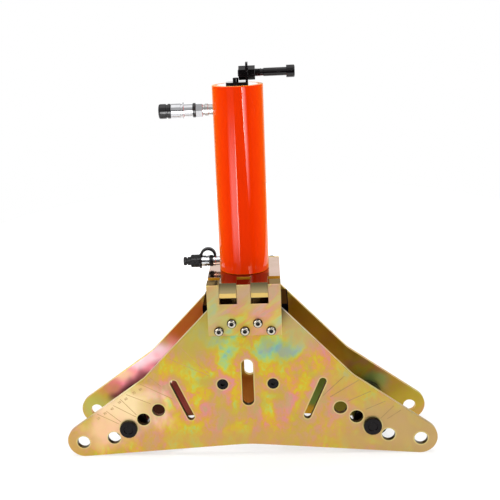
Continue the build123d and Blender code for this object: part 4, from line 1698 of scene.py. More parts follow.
@dataclass
class Cylinder:
    """The painted barrel, its top cap and the gland parts inside."""

    foot: float = 269.0
    shoulder: float = 287.0
    top: float = 567.0
    radius: float = 37.5
    spigot: float = 34.0
    bore: float = 30.0
    rim: float = 0.8
    rim_middle: float = 0.25
    foot_break: float = 1.0
    sides: int = 128
    port: float = 7.0
    port_heights: tuple[float, ...] = (299.9, 531.7)
    port_lead: float = 4.0
    port_run: float = 6.0
    port_sides: int = 48
    cap_bottom: float = 545.0
    cap_break: float = 0.4
    cap_lead: float = 1.0
    cap_seal_bottom: float = 553.0
    cap_seal_top: float = 557.0
    cap_seal_depth: float = 3.0
    cap_sides: int = 96
    screw_hole_x: float = -2.1
    screw_hole: float = 2.5
    screw_hole_depth: float = 12.0
    screw_hole_sides: int = 32

    def build(self) -> None:
        """Builds the barrel and the cap and dresses what stays hidden."""
        seat(self.barrel(), Body.FRAME, PAINT, ["barrel"])
        seat(self.top_cap(), Body.FRAME, CAP_STEEL, ["top_cap"])
        paint_node("gland", STEEL)
        for node in ("top_cap_seal", "gland_seal", "rod_seal", "wiper"):
            paint_node(node, SEAL)

    def barrel(self) -> Piece:
        """Turns the barrel and drills its two ports.

        Returns:
            The barrel.
        """
        profile = [
            (self.foot, self.bore),
            (self.foot, self.spigot),
            (self.shoulder, self.spigot),
            *near_edge(self.shoulder, self.radius, self.foot_break),
            (self.shoulder + 3 * self.foot_break, self.radius),
            (self.top - 3 * self.rim, self.radius),
            (self.top - self.rim, self.radius),
            (self.top - self.rim_middle, self.radius - self.rim_middle),
            (self.top, self.radius - self.rim),
            (self.top, self.bore),
        ]
        piece = turned("barrel_painted", profile, Direction.Z, sides=self.sides, hollow=True)
        reach = (-self.radius - self.port_lead, -self.bore + self.port_run)
        for height in self.port_heights:
            drill(piece, self.port, reach, Direction.X, (0.0, 0.0, height), self.port_sides)
        return piece

    def top_cap(self) -> Piece:
        """Turns the top cap with its seal groove and drills it for the stop bracket.

        Returns:
            The cap.
        """
        groove = self.bore - self.cap_seal_depth
        profile = [
            *near_edge(self.cap_bottom, self.bore, self.cap_lead),
            (self.cap_seal_bottom, self.bore),
            (self.cap_seal_bottom, groove),
            (self.cap_seal_top, groove),
            (self.cap_seal_top, self.bore),
            *far_edge(self.top, self.bore, self.cap_break),
        ]
        piece = turned("top_cap_turned", profile, Direction.Z, sides=self.cap_sides)
        reach = (self.top - self.screw_hole_depth, self.top + 2 * OVERCUT)
        hole_place = (self.screw_hole_x, 0.0, 0.0)
        drill(piece, self.screw_hole, reach, Direction.Z, hole_place, self.screw_hole_sides)
        return piece


@dataclass
class Ram:
    """The piston, its rod and the wedge former below."""

    former_edge: float = 0.8
    rod_edge: float = 0.3

    def build(self) -> None:
        """Builds the former and the rod and dresses the ram's other parts."""
        dress("former", "former_wedge", self.former_edge, Body.RAM, FORMER_STEEL)
        dress("piston_rod", "ram_rod", self.rod_edge, Body.RAM, CHROME)
        paint_node("former_screw", BLACK)
        paint_node("piston", STEEL)
        paint_node("stop_tube", STEEL)
        paint_node("piston_seal", SEAL)
        paint_node("wear_ring", WEAR)


@dataclass
class StopGauge:
    """The angle bracket on the top cap with its long stop bolt and nuts."""

    top: float = 567.0
    sheet: float = 3.5
    edge: float = 0.5
    screw_x: float = -2.1
    screw: CapScrew = CapScrew(
        head=8.5, height=6.0, shank=5.0, grip=15.5, tip=0.6, rim=0.6, socket=4.0, depth=3.0, sides=40
    )
    bolt_z: float = 582.8
    bolt_start: float = 1.5
    bolt_tip: Pair = (0.8, 0.6)
    bolt_sides: int = 56
    thread_end: float = 38.0
    thread_runout: float = 0.9
    shoulder: float = 71.5
    head_end: float = 83.5
    bolt_radius: float = 6.0
    root_radius: float = 5.1
    pitch: float = 1.75
    ridge_half: float = 0.46
    ridge_sink: float = 0.1
    crest_gap: float = 0.04
    ridge_steps: int = 28
    head_radius: float = 9.0
    head_rim: float = 1.0
    head_foot: float = 0.3
    socket: float = 10.0
    socket_depth: float = 6.0
    nut_flats: float = 18.0
    nut_starts: tuple[float, ...] = (2.5, 16.2)
    nut_thickness: float = 10.2
    nut_gap: float = 0.02
    nut_round: float = 0.5
    nut_bore_sides: int = 40

    @property
    def bolt_axis(self) -> Point:
        """Gives a point of the bolt's axis, in millimetres."""
        return (0.0, 0.0, self.bolt_z)

    def build(self) -> None:
        """Builds the bracket, its screw, the bolt and the nuts."""
        dress("stop_bracket", "stop_angle", self.edge, Body.FRAME, BLACK)
        seat_z = self.top + self.sheet
        screw = self.screw.turn("angle_screw", seat_z, Direction.Z, (self.screw_x, 0.0, 0.0))
        seat(screw, Body.FRAME, BLACK, ["stop_bracket_screw"])
        seat(self.bolt(), Body.FRAME, BLACK, ["stop_bolt"])
        seat(self.nuts(), Body.FRAME, BLACK, ["stop_nuts"])

    def bolt(self) -> Piece:
        """Turns the stop bolt, cuts its socket and winds its thread.

        Returns:
            The bolt.
        """
        tip_length, tip_drop = self.bolt_tip
        profile = [
            (self.bolt_start, self.root_radius - tip_drop),
            (self.bolt_start + tip_length, self.root_radius),
            (self.thread_end, self.root_radius),
            (self.thread_end + self.thread_runout, self.bolt_radius),
            (self.shoulder, self.bolt_radius),
            *near_edge(self.shoulder, self.head_radius, self.head_foot),
            *far_edge(self.head_end, self.head_radius, self.head_rim),
        ]
        bolt = turned("stop_bolt_turned", profile, Direction.X, self.bolt_axis, self.bolt_sides)
        reach = (self.head_end - self.socket_depth, self.head_end + OVERCUT)
        drill(bolt, hexagon_radius(self.socket), reach, Direction.X, self.bolt_axis, HEXAGON)
        return joined("stop_bolt_threaded", [bolt, self.thread()])

    def thread(self) -> Piece:
        """Winds the bolt's thread ridge from a small triangle.

        Returns:
            The ridge.
        """
        bpy.ops.mesh.primitive_circle_add(vertices=3, radius=MM, fill_type="NOTHING")
        ridge = named("bolt_thread")
        root = self.root_radius - self.ridge_sink
        corners = (
            (0.0, 0.0, self.bolt_radius - self.crest_gap),
            (-self.pitch * self.ridge_half, 0.0, root),
            (self.pitch * self.ridge_half, 0.0, root),
        )
        for vertex, corner in zip(ridge.data.vertices, corners):
            vertex.co = Vector(corner) * MM
        screw = ridge.modifiers.new("thread", "SCREW")
        screw.axis = "X"
        screw.screw_offset = self.pitch * MM
        screw.iterations = int((self.thread_end - self.bolt_start) / self.pitch) - 2
        screw.steps = self.ridge_steps
        screw.render_steps = self.ridge_steps
        screw.use_merge_vertices = False
        finish_modifier(ridge, screw)
        with editing(ridge):
            bpy.ops.mesh.select_mode(type="EDGE")
            bpy.ops.mesh.select_all(action="DESELECT")
            bpy.ops.mesh.select_non_manifold(extend=False)
            bpy.ops.mesh.fill_holes(sides=3)
            bpy.ops.mesh.select_all(action="SELECT")
            bpy.ops.mesh.normals_make_consistent(inside=False)
        ridge.location = ((self.bolt_start + self.pitch) * MM, 0.0, self.bolt_z * MM)
        settle(ridge)
        return ridge

    def nuts(self) -> Piece:
        """Turns one rounded hexagon nut and copies it across the bracket's leg.

        Returns:
            Both nuts as one piece.
        """
        first = self.nut_starts[0]
        end = first + self.nut_thickness
        corner = hexagon_radius(self.nut_flats)
        nut = turned(
            "stop_nut",
            [(first, corner), (end, corner)],
            Direction.X,
            self.bolt_axis,
            HEXAGON,
            roll=math.pi / 6,
        )
        reach = (first - OVERCUT, end + OVERCUT)
        drill(nut, self.bolt_radius + self.nut_gap, reach, Direction.X, self.bolt_axis, self.nut_bore_sides)
        round_edges(nut, self.nut_round)
        step = self.nut_starts[1] - first
        return joined("stop_nut_pair", [nut, copied(nut, "stop_nut_outer", (step, 0.0, 0.0))])


@dataclass
class Coupler:
    """What the two quick couplers share: their axis and the thread in the barrel's wall."""

    height: float
    sides: int = 56
    wall: float = -37.5
    thread_end: float = -30.2
    thread_radius: float = 7.0

    @property
    def axis(self) -> Point:
        """Gives a point of the coupler's axis, in millimetres."""
        return (0.0, 0.0, self.height)

    def tube(self, name: str, profile: Profile) -> Piece:
        """Turns a hollow piece on the coupler's axis."""
        return turned(name, profile, Direction.X, self.axis, self.sides, hollow=True)


@dataclass
class UpperCoupler(Coupler):
    """The quick coupler on the upper port: adaptor, body, ring, sleeve and plug."""

    height: float = 531.7
    bore: float = 3.0
    neck_radius: float = 7.85
    neck_break: float = 0.3
    ring_radius: float = 9.0
    ring_start: float = -43.7
    ring_end: float = -49.0
    ring_break: float = 0.5
    adaptor_end: float = -51.9
    stub_radius: float = 6.0
    stub_end: float = -59.9
    hex_flats: float = 19.0
    hex_end: float = -62.3
    hex_break: Pair = (0.5, 0.7)
    seat_radius: float = 8.5
    seat_step: float = 0.4
    bumper_radius: float = 10.7
    bumper_end: float = -66.7
    bumper_round: float = 0.8
    body_radius: float = 9.3
    body_end: float = -99.3
    body_break: float = 0.5
    sleeve_start: float = -79.3
    grip_radius: float = 12.5
    grip_end: float = -81.5
    waist_radius: float = 10.2
    waist_end: float = -84.3
    sleeve_radius: float = 11.0
    sleeve_bore: float = 9.35
    sleeve_break: float = 0.4
    sleeve_sides: int = 64
    nose_round: float = 1.5
    nose_steps: int = 5
    plug_start: float = -99.6
    plug_end: float = -117.2
    plug_radius: float = 11.0
    plug_dome: Profile = ((0.0, 2.2), (0.5, 0.9), (1.6, 0.1), (2.6, 0.0))
    plug_shank: float = 4.95
    plug_shank_gap: float = 0.05
    plug_shank_end: float = -85.6
    plug_tip: float = 0.6
    plug_tip_gap: float = 0.3
    plug_groove: Pair = (-103.6, -106.1)
    plug_groove_depth: float = 1.2
    plug_round: float = 0.35

    def build(self) -> None:
        """Builds the coupler's pieces."""
        seat(self.adaptor(), Body.FRAME, STEEL, ["upper_adaptor"])
        seat(self.body(), Body.FRAME, CHROME, ["upper_coupler_body"])
        seat(self.bumper(), Body.FRAME, RUBBER, ["upper_bumper_ring"])
        seat(self.sleeve(), Body.SLEEVE, CHROME, ["locking_sleeve"])
        seat(self.plug(), Body.PLUG, RUBBER, ["dust_plug"])

    def adaptor(self) -> Piece:
        """Turns the adaptor in the barrel's wall.

        Returns:
            The adaptor.
        """
        profile = [
            (self.stub_end, self.bore),
            (self.stub_end, self.stub_radius),
            (self.adaptor_end, self.stub_radius),
            *near_edge(self.adaptor_end, self.neck_radius, self.neck_break),
            (self.ring_end, self.neck_radius),
            *near_edge(self.ring_end, self.ring_radius, self.ring_break),
            *far_edge(self.ring_start, self.ring_radius, self.ring_break),
            (self.ring_start, self.neck_radius),
            (self.wall, self.neck_radius),
            (self.wall, self.thread_radius),
            (self.thread_end, self.thread_radius),
            (self.thread_end, self.bore),
        ]
        return self.tube("upper_adaptor_turned", profile)

    def body(self) -> Piece:
        """Turns the coupler's body and joins its hexagon.

        Returns:
            The body.
        """
        inner = self.plug_shank + self.plug_shank_gap
        shank_floor = self.plug_shank_end + self.plug_tip_gap
        profile = [
            (self.body_end, inner),
            *near_edge(self.body_end, self.body_radius, self.body_break),
            (self.bumper_end, self.body_radius),
            (self.bumper_end, self.seat_radius),
            (self.hex_end + self.seat_step, self.seat_radius),
            (self.stub_end, self.seat_radius),
            (self.stub_end, self.bore),
            (shank_floor, self.bore),
            (shank_floor, inner),
        ]
        tube = self.tube("upper_body_tube", profile)
        corner = hexagon_radius(self.hex_flats)
        along, drop = self.hex_break
        profile = [
            (self.hex_end, corner - drop),
            (self.hex_end + along, corner),
            (self.adaptor_end - along, corner),
            (self.adaptor_end, corner - drop),
        ]
        nut = turned("upper_body_hexagon", profile, Direction.X, self.axis, HEXAGON)
        reach = (self.hex_end - OVERCUT, self.adaptor_end + OVERCUT)
        drill(nut, self.stub_radius, reach, Direction.X, self.axis, self.sides)
        return joined("upper_body_turned", [tube, nut])

    def bumper(self) -> Piece:
        """Turns the black ring behind the hexagon.

        Returns:
            The ring.
        """
        profile = [
            (self.bumper_end, self.seat_radius),
            (self.bumper_end, self.bumper_radius),
            (self.hex_end, self.bumper_radius),
            (self.hex_end, self.seat_radius),
        ]
        ring = self.tube("bumper_ring_turned", profile)
        round_edges(ring, self.bumper_round, segments=3, angle=40.0)
        return ring

    def sleeve(self) -> Piece:
        """Turns the locking sleeve with its grip and its rounded nose.

        Returns:
            The sleeve.
        """
        nose = []
        for step in range(self.nose_steps + 1):
            turn = math.pi / 2 * (1 - step / self.nose_steps)
            rise = self.nose_round * (1.0 - math.sin(turn))
            nose.append((self.body_end + rise, self.sleeve_radius - self.nose_round * (1.0 - math.cos(turn))))
        profile = [
            (self.body_end, self.sleeve_bore),
            *nose,
            *far_edge(self.waist_end, self.sleeve_radius, self.sleeve_break),
            (self.waist_end, self.waist_radius),
            (self.grip_end, self.waist_radius),
            *near_edge(self.grip_end, self.grip_radius, self.sleeve_break),
            *far_edge(self.sleeve_start, self.grip_radius, self.sleeve_break),
            (self.sleeve_start, self.sleeve_bore),
        ]
        return turned(
            "locking_sleeve_turned", profile, Direction.X, self.axis, self.sleeve_sides, hollow=True
        )

    def plug(self) -> Piece:
        """Turns the dust plug with its shank, groove and domed end.

        Returns:
            The plug.
        """
        start, end = self.plug_groove
        low = self.plug_radius - self.plug_groove_depth
        profile = [
            *((self.plug_end + along, self.plug_radius - drop) for along, drop in self.plug_dome),
            (end, self.plug_radius),
            (end, low),
            (start, low),
            (start, self.plug_radius),
            (self.plug_start, self.plug_radius),
            (self.plug_start, self.plug_shank),
            *far_edge(self.plug_shank_end, self.plug_shank, self.plug_tip),
        ]
        plug = turned("dust_plug_turned", profile, Direction.X, self.axis, self.sides)
        round_edges(plug, self.plug_round, angle=50.0)
        return plug


@dataclass
class LowerCoupler(Coupler):
    """The quick coupler on the lower port and its strapped dust cap."""

    height: float = 299.9
    bore: float = 3.5
    neck_radius: float = 7.0
    neck_end: float = -43.5
    collar_radius: float = 8.0
    collar_end: float = -47.4
    collar_break: float = 0.4
    loop_seat: float = 6.5
    loop_seat_end: float = -53.5
    groove: Profile = ((4.6, 0.0), (4.1, 0.7), (2.9, 0.7), (2.4, 0.0))
    body_radius: float = 8.5
    body_end: float = -65.1
    body_break: float = 0.5
    nose_radius: float = 7.4
    nose_end: float = -79.1
    nose_break: float = 1.0
    cap_mouth: float = -65.4
    rim_end: float = -68.5
    rim_radius: float = 11.7
    rim_break: float = 0.6
    cap_end: float = -81.8
    cap_radius: float = 9.9
    cap_break: float = 0.8
    knob_end: float = -93.3
    knob_radius: float = 6.6
    waist: Pair = (-86.8, -88.6)
    waist_radius: float = 4.75
    hollow_end: float = -79.4
    hollow_radius: float = 7.5
    pinhole: float = 1.0
    pinhole_mouth: Pair = (0.8, 1.4)
    loop: Pair = (-53.2, -47.7)
    loop_radius: float = 8.75
    loop_bore: float = 6.6
    loop_round: float = 0.7
    loop_sides: int = 48
    strap_centre: Pair = (-55.0, 308.2)
    strap_outer: float = 12.7
    strap_inner: float = 8.7
    strap_half: float = 4.5
    strap_round: float = 1.2
    strap_steps: int = 20
    strap_merge: float = 0.005

    def build(self) -> None:
        """Builds the coupler and its cap."""
        seat(self.coupler(), Body.FRAME, CHROME, ["lower_coupler"])
        seat(self.cap(), Body.CAP, SOFT_RUBBER, ["dust_cap"])

    def coupler(self) -> Piece:
        """Turns the coupler from its nose to the barrel's wall.

        Returns:
            The coupler.
        """
        profile = [
            (self.nose_end, self.bore),
            *near_edge(self.nose_end, self.nose_radius, self.nose_break),
            (self.body_end, self.nose_radius),
            *near_edge(self.body_end, self.body_radius, self.body_break),
            *((self.loop_seat_end - along, self.body_radius - drop) for along, drop in self.groove),
            *far_edge(self.loop_seat_end, self.body_radius, self.collar_break),
            (self.loop_seat_end, self.loop_seat),
            (self.collar_end, self.loop_seat),
            *near_edge(self.collar_end, self.collar_radius, self.collar_break),
            *far_edge(self.neck_end, self.collar_radius, self.collar_break),
            (self.neck_end, self.neck_radius),
            (self.wall, self.neck_radius),
            (self.thread_end, self.thread_radius),
            (self.thread_end, self.bore),
        ]
        return self.tube("lower_coupler_turned", profile)

    def cap(self) -> Piece:
        """Turns the cap and its loop and bends the strap between them.

        Returns:
            The cap with its strap.
        """
        mouth_depth, mouth = self.pinhole_mouth
        profile = [
            (self.cap_mouth, self.hollow_radius),
            (self.hollow_end, self.hollow_radius),
            (self.hollow_end, self.pinhole),
            (self.knob_end + mouth_depth, self.pinhole),
            (self.knob_end, mouth),
            *((self.knob_end + along, self.knob_radius - drop) for along, drop in ROUND_CORNER),
            (self.waist[1], self.knob_radius),
            (self.waist[1], self.waist_radius),
            (self.waist[0], self.waist_radius),
            (self.waist[0], self.knob_radius),
            (self.cap_end, self.knob_radius),
            *near_edge(self.cap_end, self.cap_radius, self.cap_break),
            (self.rim_end, self.cap_radius),
            *near_edge(self.rim_end, self.rim_radius, self.rim_break),
            *far_edge(self.cap_mouth, self.rim_radius, self.rim_break),
        ]
        shell = self.tube("cap_shell", profile)
        start, end = self.loop
        section = [
            (start, self.loop_bore),
            (start, self.loop_radius),
            (end, self.loop_radius),
            (end, self.loop_bore),
        ]
        loop = turned("cap_loop", section, Direction.X, self.axis, self.loop_sides, hollow=True)
        round_edges(loop, self.loop_round, segments=3, angle=40.0)
        return joined("dust_cap_strapped", [shell, loop, self.strap()])

    def strap(self) -> Piece:
        """Spins the strap's section over its half turn.

        Returns:
            The strap.
        """
        x, z = self.strap_centre
        middle = (self.strap_outer + self.strap_inner) / 2
        half = (self.strap_outer - self.strap_inner) / 2
        bpy.ops.mesh.primitive_plane_add(size=1.0)
        strap = named("cap_strap")
        start = Vector((x + middle, 0.0, z)) * MM
        with editing(strap):
            bpy.ops.transform.resize(value=(2 * half * MM, 2 * self.strap_half * MM, 1.0))
            bpy.ops.mesh.bevel(offset=self.strap_round * MM, segments=3, affect="VERTICES")
            bpy.ops.transform.translate(value=start)
            bpy.ops.mesh.spin(
                steps=self.strap_steps,
                dupli=False,
                angle=math.pi,
                center=(x * MM, 0.0, z * MM),
                axis=(0.0, 1.0, 0.0),
            )
            bpy.ops.mesh.select_all(action="SELECT")
            bpy.ops.mesh.remove_doubles(threshold=self.strap_merge * MM)
            bpy.ops.mesh.normals_make_consistent(inside=False)
        settle(strap)
        return strap


@dataclass
class EngravedScale:
    """The hairlines and degree numbers cut into the front plate's outer face."""

    face: float = -58.75
    proud: float = 0.02
    line_width: float = 0.9
    line_point: float = 0.9
    digit_height: float = 5.4
    digit_weight: float = 0.12
    digit_turn: float = 32.0
    digit_merge: float = 0.001
    left_lines: tuple[tuple[float, float, float, float], ...] = (
        (-236.8, 72.9, -203.5, 55.2),
        (-222.2, 77.8, -200.1, 58.6),
        (-210.5, 87.0, -175.9, 66.8),
        (-198.7, 97.8, -174.9, 70.2),
        (-188.7, 105.2, -150.9, 88.5),
        (-166.5, 122.5, -116.6, 96.3),
        (-150.2, 133.0, -133.5, 117.6),
        (-124.8, 166.4, -58.7, 133.7),
        (-103.2, 184.9, -58.5, 137.0),
    )
    right_lines: tuple[tuple[float, float, float, float], ...] = (
        (112.9, 97.3, 146.3, 129.7),
        (124.2, 95.4, 168.0, 122.7),
        (150.4, 87.8, 185.9, 104.2),
        (177.8, 73.8, 208.0, 87.3),
        (201.0, 59.0, 220.5, 79.4),
        (210.1, 57.2, 231.0, 71.9),
    )
    digits: tuple[tuple[int, float, float], ...] = (
        (20, -235.1, 65.1),
        (30, -224.2, 73.4),
        (40, -212.5, 81.0),
        (50, -199.8, 91.9),
        (60, -189.3, 97.6),
        (70, -176.1, 107.5),
        (80, -165.6, 113.2),
        (90, -152.0, 127.2),
    )

    def build(self) -> None:
        """Builds the lines and the numbers, one piece for each wing."""
        marks = [self.line(*line) for line in self.left_lines]
        marks += [self.number(*digit) for digit in self.digits]
        seat(joined("engraved_scale_left", marks), Body.FRAME, ENGRAVING)
        lines = [self.line(*line) for line in self.right_lines]
        seat(joined("engraved_scale_right", lines), Body.FRAME, DARK_ENGRAVING)

    def line(self, x: float, z: float, end_x: float, end_z: float) -> Piece:
        """Lays one filled hairline with pointed ends.

        Args:
            x: The start's X, in millimetres.
            z: The start's Z, in millimetres.
            end_x: The end's X, in millimetres.
            end_z: The end's Z, in millimetres.

        Returns:
            The hairline.
        """
        length = math.hypot(end_x - x, end_z - z)
        half = self.line_width / 2
        strip = block(
            "hairline",
            (-length / 2, -self.proud, -half),
            (length / 2, self.proud, half),
        )
        with editing(strip):
            bpy.ops.mesh.select_mode(type="EDGE")
            bpy.ops.mesh.select_all(action="DESELECT")
            bpy.ops.object.mode_set(mode="OBJECT")
            for edge in strip.data.edges:
                first, second = (strip.data.vertices[place].co for place in edge.vertices)
                edge.select = abs(first.y - second.y) > self.proud * MM
            bpy.ops.object.mode_set(mode="EDIT")
            bpy.ops.mesh.bevel(offset=half * self.line_point * MM, segments=1, affect="EDGES")
        strip.rotation_euler = (0.0, -math.atan2(end_z - z, end_x - x), 0.0)
        strip.location = Vector(((x + end_x) / 2, self.face, (z + end_z) / 2)) * MM
        settle(strip)
        return strip

    def number(self, degrees: int, x: float, z: float) -> Piece:
        """Sets one degree number beside the plate's sloping edge.

        Args:
            degrees: The number.
            x: Its middle's X, in millimetres.
            z: Its middle's Z, in millimetres.

        Returns:
            The number as a mesh.
        """
        bpy.ops.object.text_add()
        text = bpy.context.object
        text.data.body = str(degrees)
        text.data.size = self.digit_height * MM
        text.data.align_x = "CENTER"
        text.data.align_y = "CENTER"
        text.data.extrude = self.proud * MM
        text.data.offset = self.digit_weight * MM
        text.data.resolution_u = 3
        bpy.ops.object.convert(target="MESH")
        digits = bpy.context.object
        with editing(digits):
            bpy.ops.mesh.remove_doubles(threshold=self.digit_merge * MM)
            bpy.ops.mesh.normals_make_consistent(inside=False)
        lean = Matrix.Rotation(-math.radians(self.digit_turn), 4, "Y")
        upright = lean @ Matrix.Rotation(math.pi / 2, 4, "X")
        digits.matrix_world = Matrix.Translation(Vector((x, self.face, z)) * MM) @ upright
        settle(digits)
        return digits


@dataclass(frozen=True)
class Lamp:
    """A soft rectangular lamp, in metres, watts and degrees of spread."""

    name: str
    place: Point
    target: Point
    wide: float
    high: float
    power: float
    spread: float = 180.0

    def hang(self) -> None:
        """Hangs the lamp, which lights the object and has no mirror image."""
        data = bpy.data.lights.new(self.name, "AREA")
        data.shape = "RECTANGLE"
        data.size, data.size_y = self.wide, self.high
        data.energy = self.power
        data.spread = math.radians(self.spread)
        lamp = bpy.data.objects.new(self.name, data)
        bpy.context.scene.collection.objects.link(lamp)
        lamp.location = self.place
        lamp.rotation_euler = (Vector(self.target) - Vector(self.place)).to_track_quat("-Z", "Y").to_euler()
        lamp.visible_camera = False
        lamp.visible_glossy = False
        log.info("lamp %s", self.name)


@dataclass(frozen=True)
class Card:
    """A tall bright card beside the camera, by the bearings of its edges from the barrel."""

    name: str
    inner_low: float
    inner_high: float
    outer: float
    fade_out: Pair
    body_rise: Pair
    body_glow: Pair
    line_rise: Pair = (0.0, 1.0)
    line_glow: Pair = (0.0, 0.0)
    line_share: float = 0.1
    foot_fade: Pair = (-1.0, 0.0)
    line_fade: float = 0.8
    near: float = 0.6
    far: float = 0.6
    low: float = 0.04
    high: float = 0.61
    cuts: int = 8

    def corner(self, bearing: float, reach: float, height: float) -> Vector:
        """Gives a corner's place from its bearing in degrees and its reach and height in metres."""
        turn = math.radians(bearing)
        return Vector((reach * math.sin(turn), -reach * math.cos(turn), height))

    def stand(self) -> None:
        """Stands the card up, to be seen in reflections only."""
        bpy.ops.mesh.primitive_plane_add(size=1.0)
        card = named(self.name)
        corners = (
            self.corner(self.inner_low, self.near, self.low),
            self.corner(self.outer, self.far, self.low),
            self.corner(self.inner_high, self.near, self.high),
            self.corner(self.outer, self.far, self.high),
        )
        for vertex, corner in zip(card.data.vertices, corners):
            vertex.co = corner
        with editing(card):
            bpy.ops.mesh.subdivide(number_cuts=self.cuts)
        graph = Graph(bpy.data.materials.new(self.name), "UV")
        across, up, _ = graph.split(graph.place)
        body = graph.span(up, *self.body_rise, *self.body_glow)
        body = graph.math("MULTIPLY", body, graph.span(across, *self.fade_out, 1.0, 0.0))
        line = graph.span(up, *self.line_rise, *self.line_glow)
        edge = graph.span(across, self.line_share * self.line_fade, self.line_share, 1.0, 0.0)
        line = graph.math("MULTIPLY", line, edge)
        glow = graph.math("ADD", body, line)
        glow = graph.math("MULTIPLY", glow, graph.span(up, *self.foot_fade, 0.0, 1.0))
        graph.put(graph.output, graph.node("Emission", WHITE, glow))
        card.data.materials.append(graph.owner)
        for flag in ("visible_camera", "visible_diffuse", "visible_transmission", "visible_shadow"):
            setattr(card, flag, False)
        log.info("stage %s", card.name)


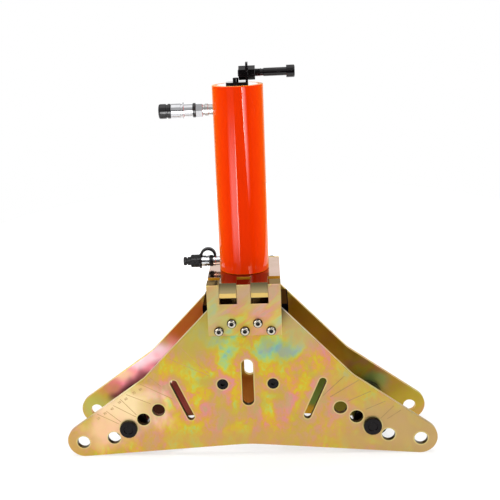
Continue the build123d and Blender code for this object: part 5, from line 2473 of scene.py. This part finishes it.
@dataclass
class Studio:
    """The pale table, the world, the lamps, the cards and the camera."""

    camera_place: Point = (0.04357, -1.23577, 0.67676)
    camera_turns: Point = (4.242, 75.313, -2.844)
    lens: float = 60.426
    sensor: float = 36.0
    sight: float = 100.0
    shift: Pair = (0.0772, -0.0446)
    table_half: float = 0.95
    table_front: float = -0.95
    table_back: float = 2.0
    table_round: float = 0.9
    table_round_steps: int = 24
    table_fade: Pair = (0.45, 1.1)
    table_share: Colour = (0.8, 0.8, 0.8)
    table_veil: Colour = (0.42, 0.42, 0.42)
    table_glow: float = 0.6
    sky_dark: float = 0.04
    sky_front: float = 0.5
    sky_white: float = 1.2
    sky_fill: float = 0.44
    sky_behind: Pair = (0.7, 0.95)
    sky_above: Pair = (0.12, 0.36)
    sky_overhead: Pair = (0.78, 0.94)
    lamps: tuple[Lamp, ...] = (
        Lamp("left_lamp", (-1.2, -0.44, 0.7), (0.0, 0.0, 0.3), wide=0.8, high=0.8, power=10.0),
        Lamp("right_lamp", (1.2, -0.44, 0.7), (0.0, 0.0, 0.3), wide=0.8, high=0.8, power=9.0),
        Lamp("top_lamp", (0.0, 0.15, 1.7), (0.0, 0.0, 0.2), wide=1.6, high=1.2, power=15.0),
        Lamp(
            "gap_lamp", (-0.52, -0.035, 0.42), (-0.175, 0.051, 0.112), wide=0.05, high=0.05, power=0.2,
            spread=32.0,
        ),
    )
    cards: tuple[Card, ...] = (
        Card(
            "left_card", inner_low=-15.8, inner_high=-15.8, outer=-53.0, fade_out=(0.6, 1.0),
            body_rise=(0.46, 0.8), body_glow=(3.0, 0.2), line_rise=(0.5, 0.75), line_glow=(7.0, 0.0),
            foot_fade=(0.12, 0.34),
        ),
        Card(
            "right_card", inner_low=42.7, inner_high=14.0, outer=54.0, fade_out=(0.05, 0.6),
            body_rise=(0.37, 0.66), body_glow=(0.0, 7.0), line_rise=(0.6, 0.69), line_glow=(0.0, 12.0),
            line_share=0.06,
        ),
        Card(
            "coupler_card", inner_low=-24.6, inner_high=-24.6, outer=-29.16, fade_out=(0.95, 1.0),
            body_rise=(0.0, 1.0), body_glow=(7.0, 7.0), near=0.0964, far=0.336, low=0.42, high=0.53,
        ),
    )

    def build(self) -> None:
        """Builds the whole studio."""
        self.table()
        self.world()
        for lamp in self.lamps:
            lamp.hang()
        for card in self.cards:
            card.stand()
        self.camera()
        bpy.context.scene.view_settings.view_transform = "Standard"

    def table(self) -> None:
        """Lays the pale table top, white to the camera and in reflections."""
        bpy.ops.mesh.primitive_plane_add(size=1.0)
        table = named("studio_table")
        middle = (self.table_back + self.table_front) / 2
        with editing(table):
            bpy.ops.transform.resize(value=(2 * self.table_half, self.table_back - self.table_front, 1.0))
            bpy.ops.transform.translate(value=(0.0, middle, 0.0))
            bpy.ops.mesh.bevel(
                affect="VERTICES", offset=self.table_round, segments=self.table_round_steps
            )
        graph = new_graph("studio_table")
        away = graph.vector("LENGTH", graph.place)
        glow = graph.node("Emission", WHITE, graph.span(away, *self.table_fade, self.table_glow, 1.0))
        white = graph.node("AddShader", graph.node("BsdfDiffuse", self.table_veil), glow)
        seen = graph.rays("Camera", "Glossy", "Transmission")
        plain = graph.node("BsdfDiffuse", self.table_share)
        graph.put(graph.output, graph.node("MixShader", seen, plain, white))
        table.data.materials.append(graph.owner)
        log.info("stage %s", table.name)

    def world(self) -> None:
        """Sets the white world, whose front is dark in reflections, as a studio's is."""
        world = bpy.data.worlds.new("studio_world")
        bpy.context.scene.world = world
        graph = Graph(world, "Generated")
        _, depth, height = graph.split(graph.place)
        behind = graph.span(depth, *self.sky_behind, self.sky_dark, self.sky_white)
        above = graph.span(height, *self.sky_above, self.sky_dark, self.sky_front)
        overhead = graph.span(height, *self.sky_overhead, self.sky_dark, self.sky_white)
        mirrored = graph.math("MAXIMUM", graph.math("MAXIMUM", behind, above), overhead)
        fill = graph.node("Background", WHITE, self.sky_fill)
        gloss = graph.node("Background", WHITE, mirrored)
        plain = graph.node("Background", WHITE, 1.0)
        around = graph.node("MixShader", graph.rays("Glossy"), fill, gloss)
        seen = graph.rays("Camera", "Transmission")
        graph.put(graph.output, graph.node("MixShader", seen, around, plain))

    def camera(self) -> None:
        """Sets the camera at the photograph's viewing angle."""
        data = bpy.data.cameras.new("camera")
        data.sensor_width = self.sensor
        data.lens = self.lens
        data.shift_x, data.shift_y = self.shift
        data.clip_end = self.sight
        camera = bpy.data.objects.new("camera", data)
        bpy.context.scene.collection.objects.link(camera)
        first, tilt, last = (math.radians(turn) for turn in self.camera_turns)
        camera.matrix_world = (
            Matrix.Translation(self.camera_place)
            @ Matrix.Rotation(first, 4, "Z")
            @ Matrix.Rotation(tilt, 4, "X")
            @ Matrix.Rotation(last, 4, "Z")
        )
        bpy.context.scene.camera = camera


def main() -> None:
    """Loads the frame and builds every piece."""
    logging.basicConfig(level=logging.INFO, format="%(name)s: %(message)s")
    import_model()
    for assembly in (
        SidePlates(),
        EngravedScale(),
        BendingRollers(),
        HeadBlock(),
        Cylinder(),
        Ram(),
        StopGauge(),
        UpperCoupler(),
        LowerCoupler(),
        Studio(),
    ):
        assembly.build()


if __name__ == "__main__":
    main()
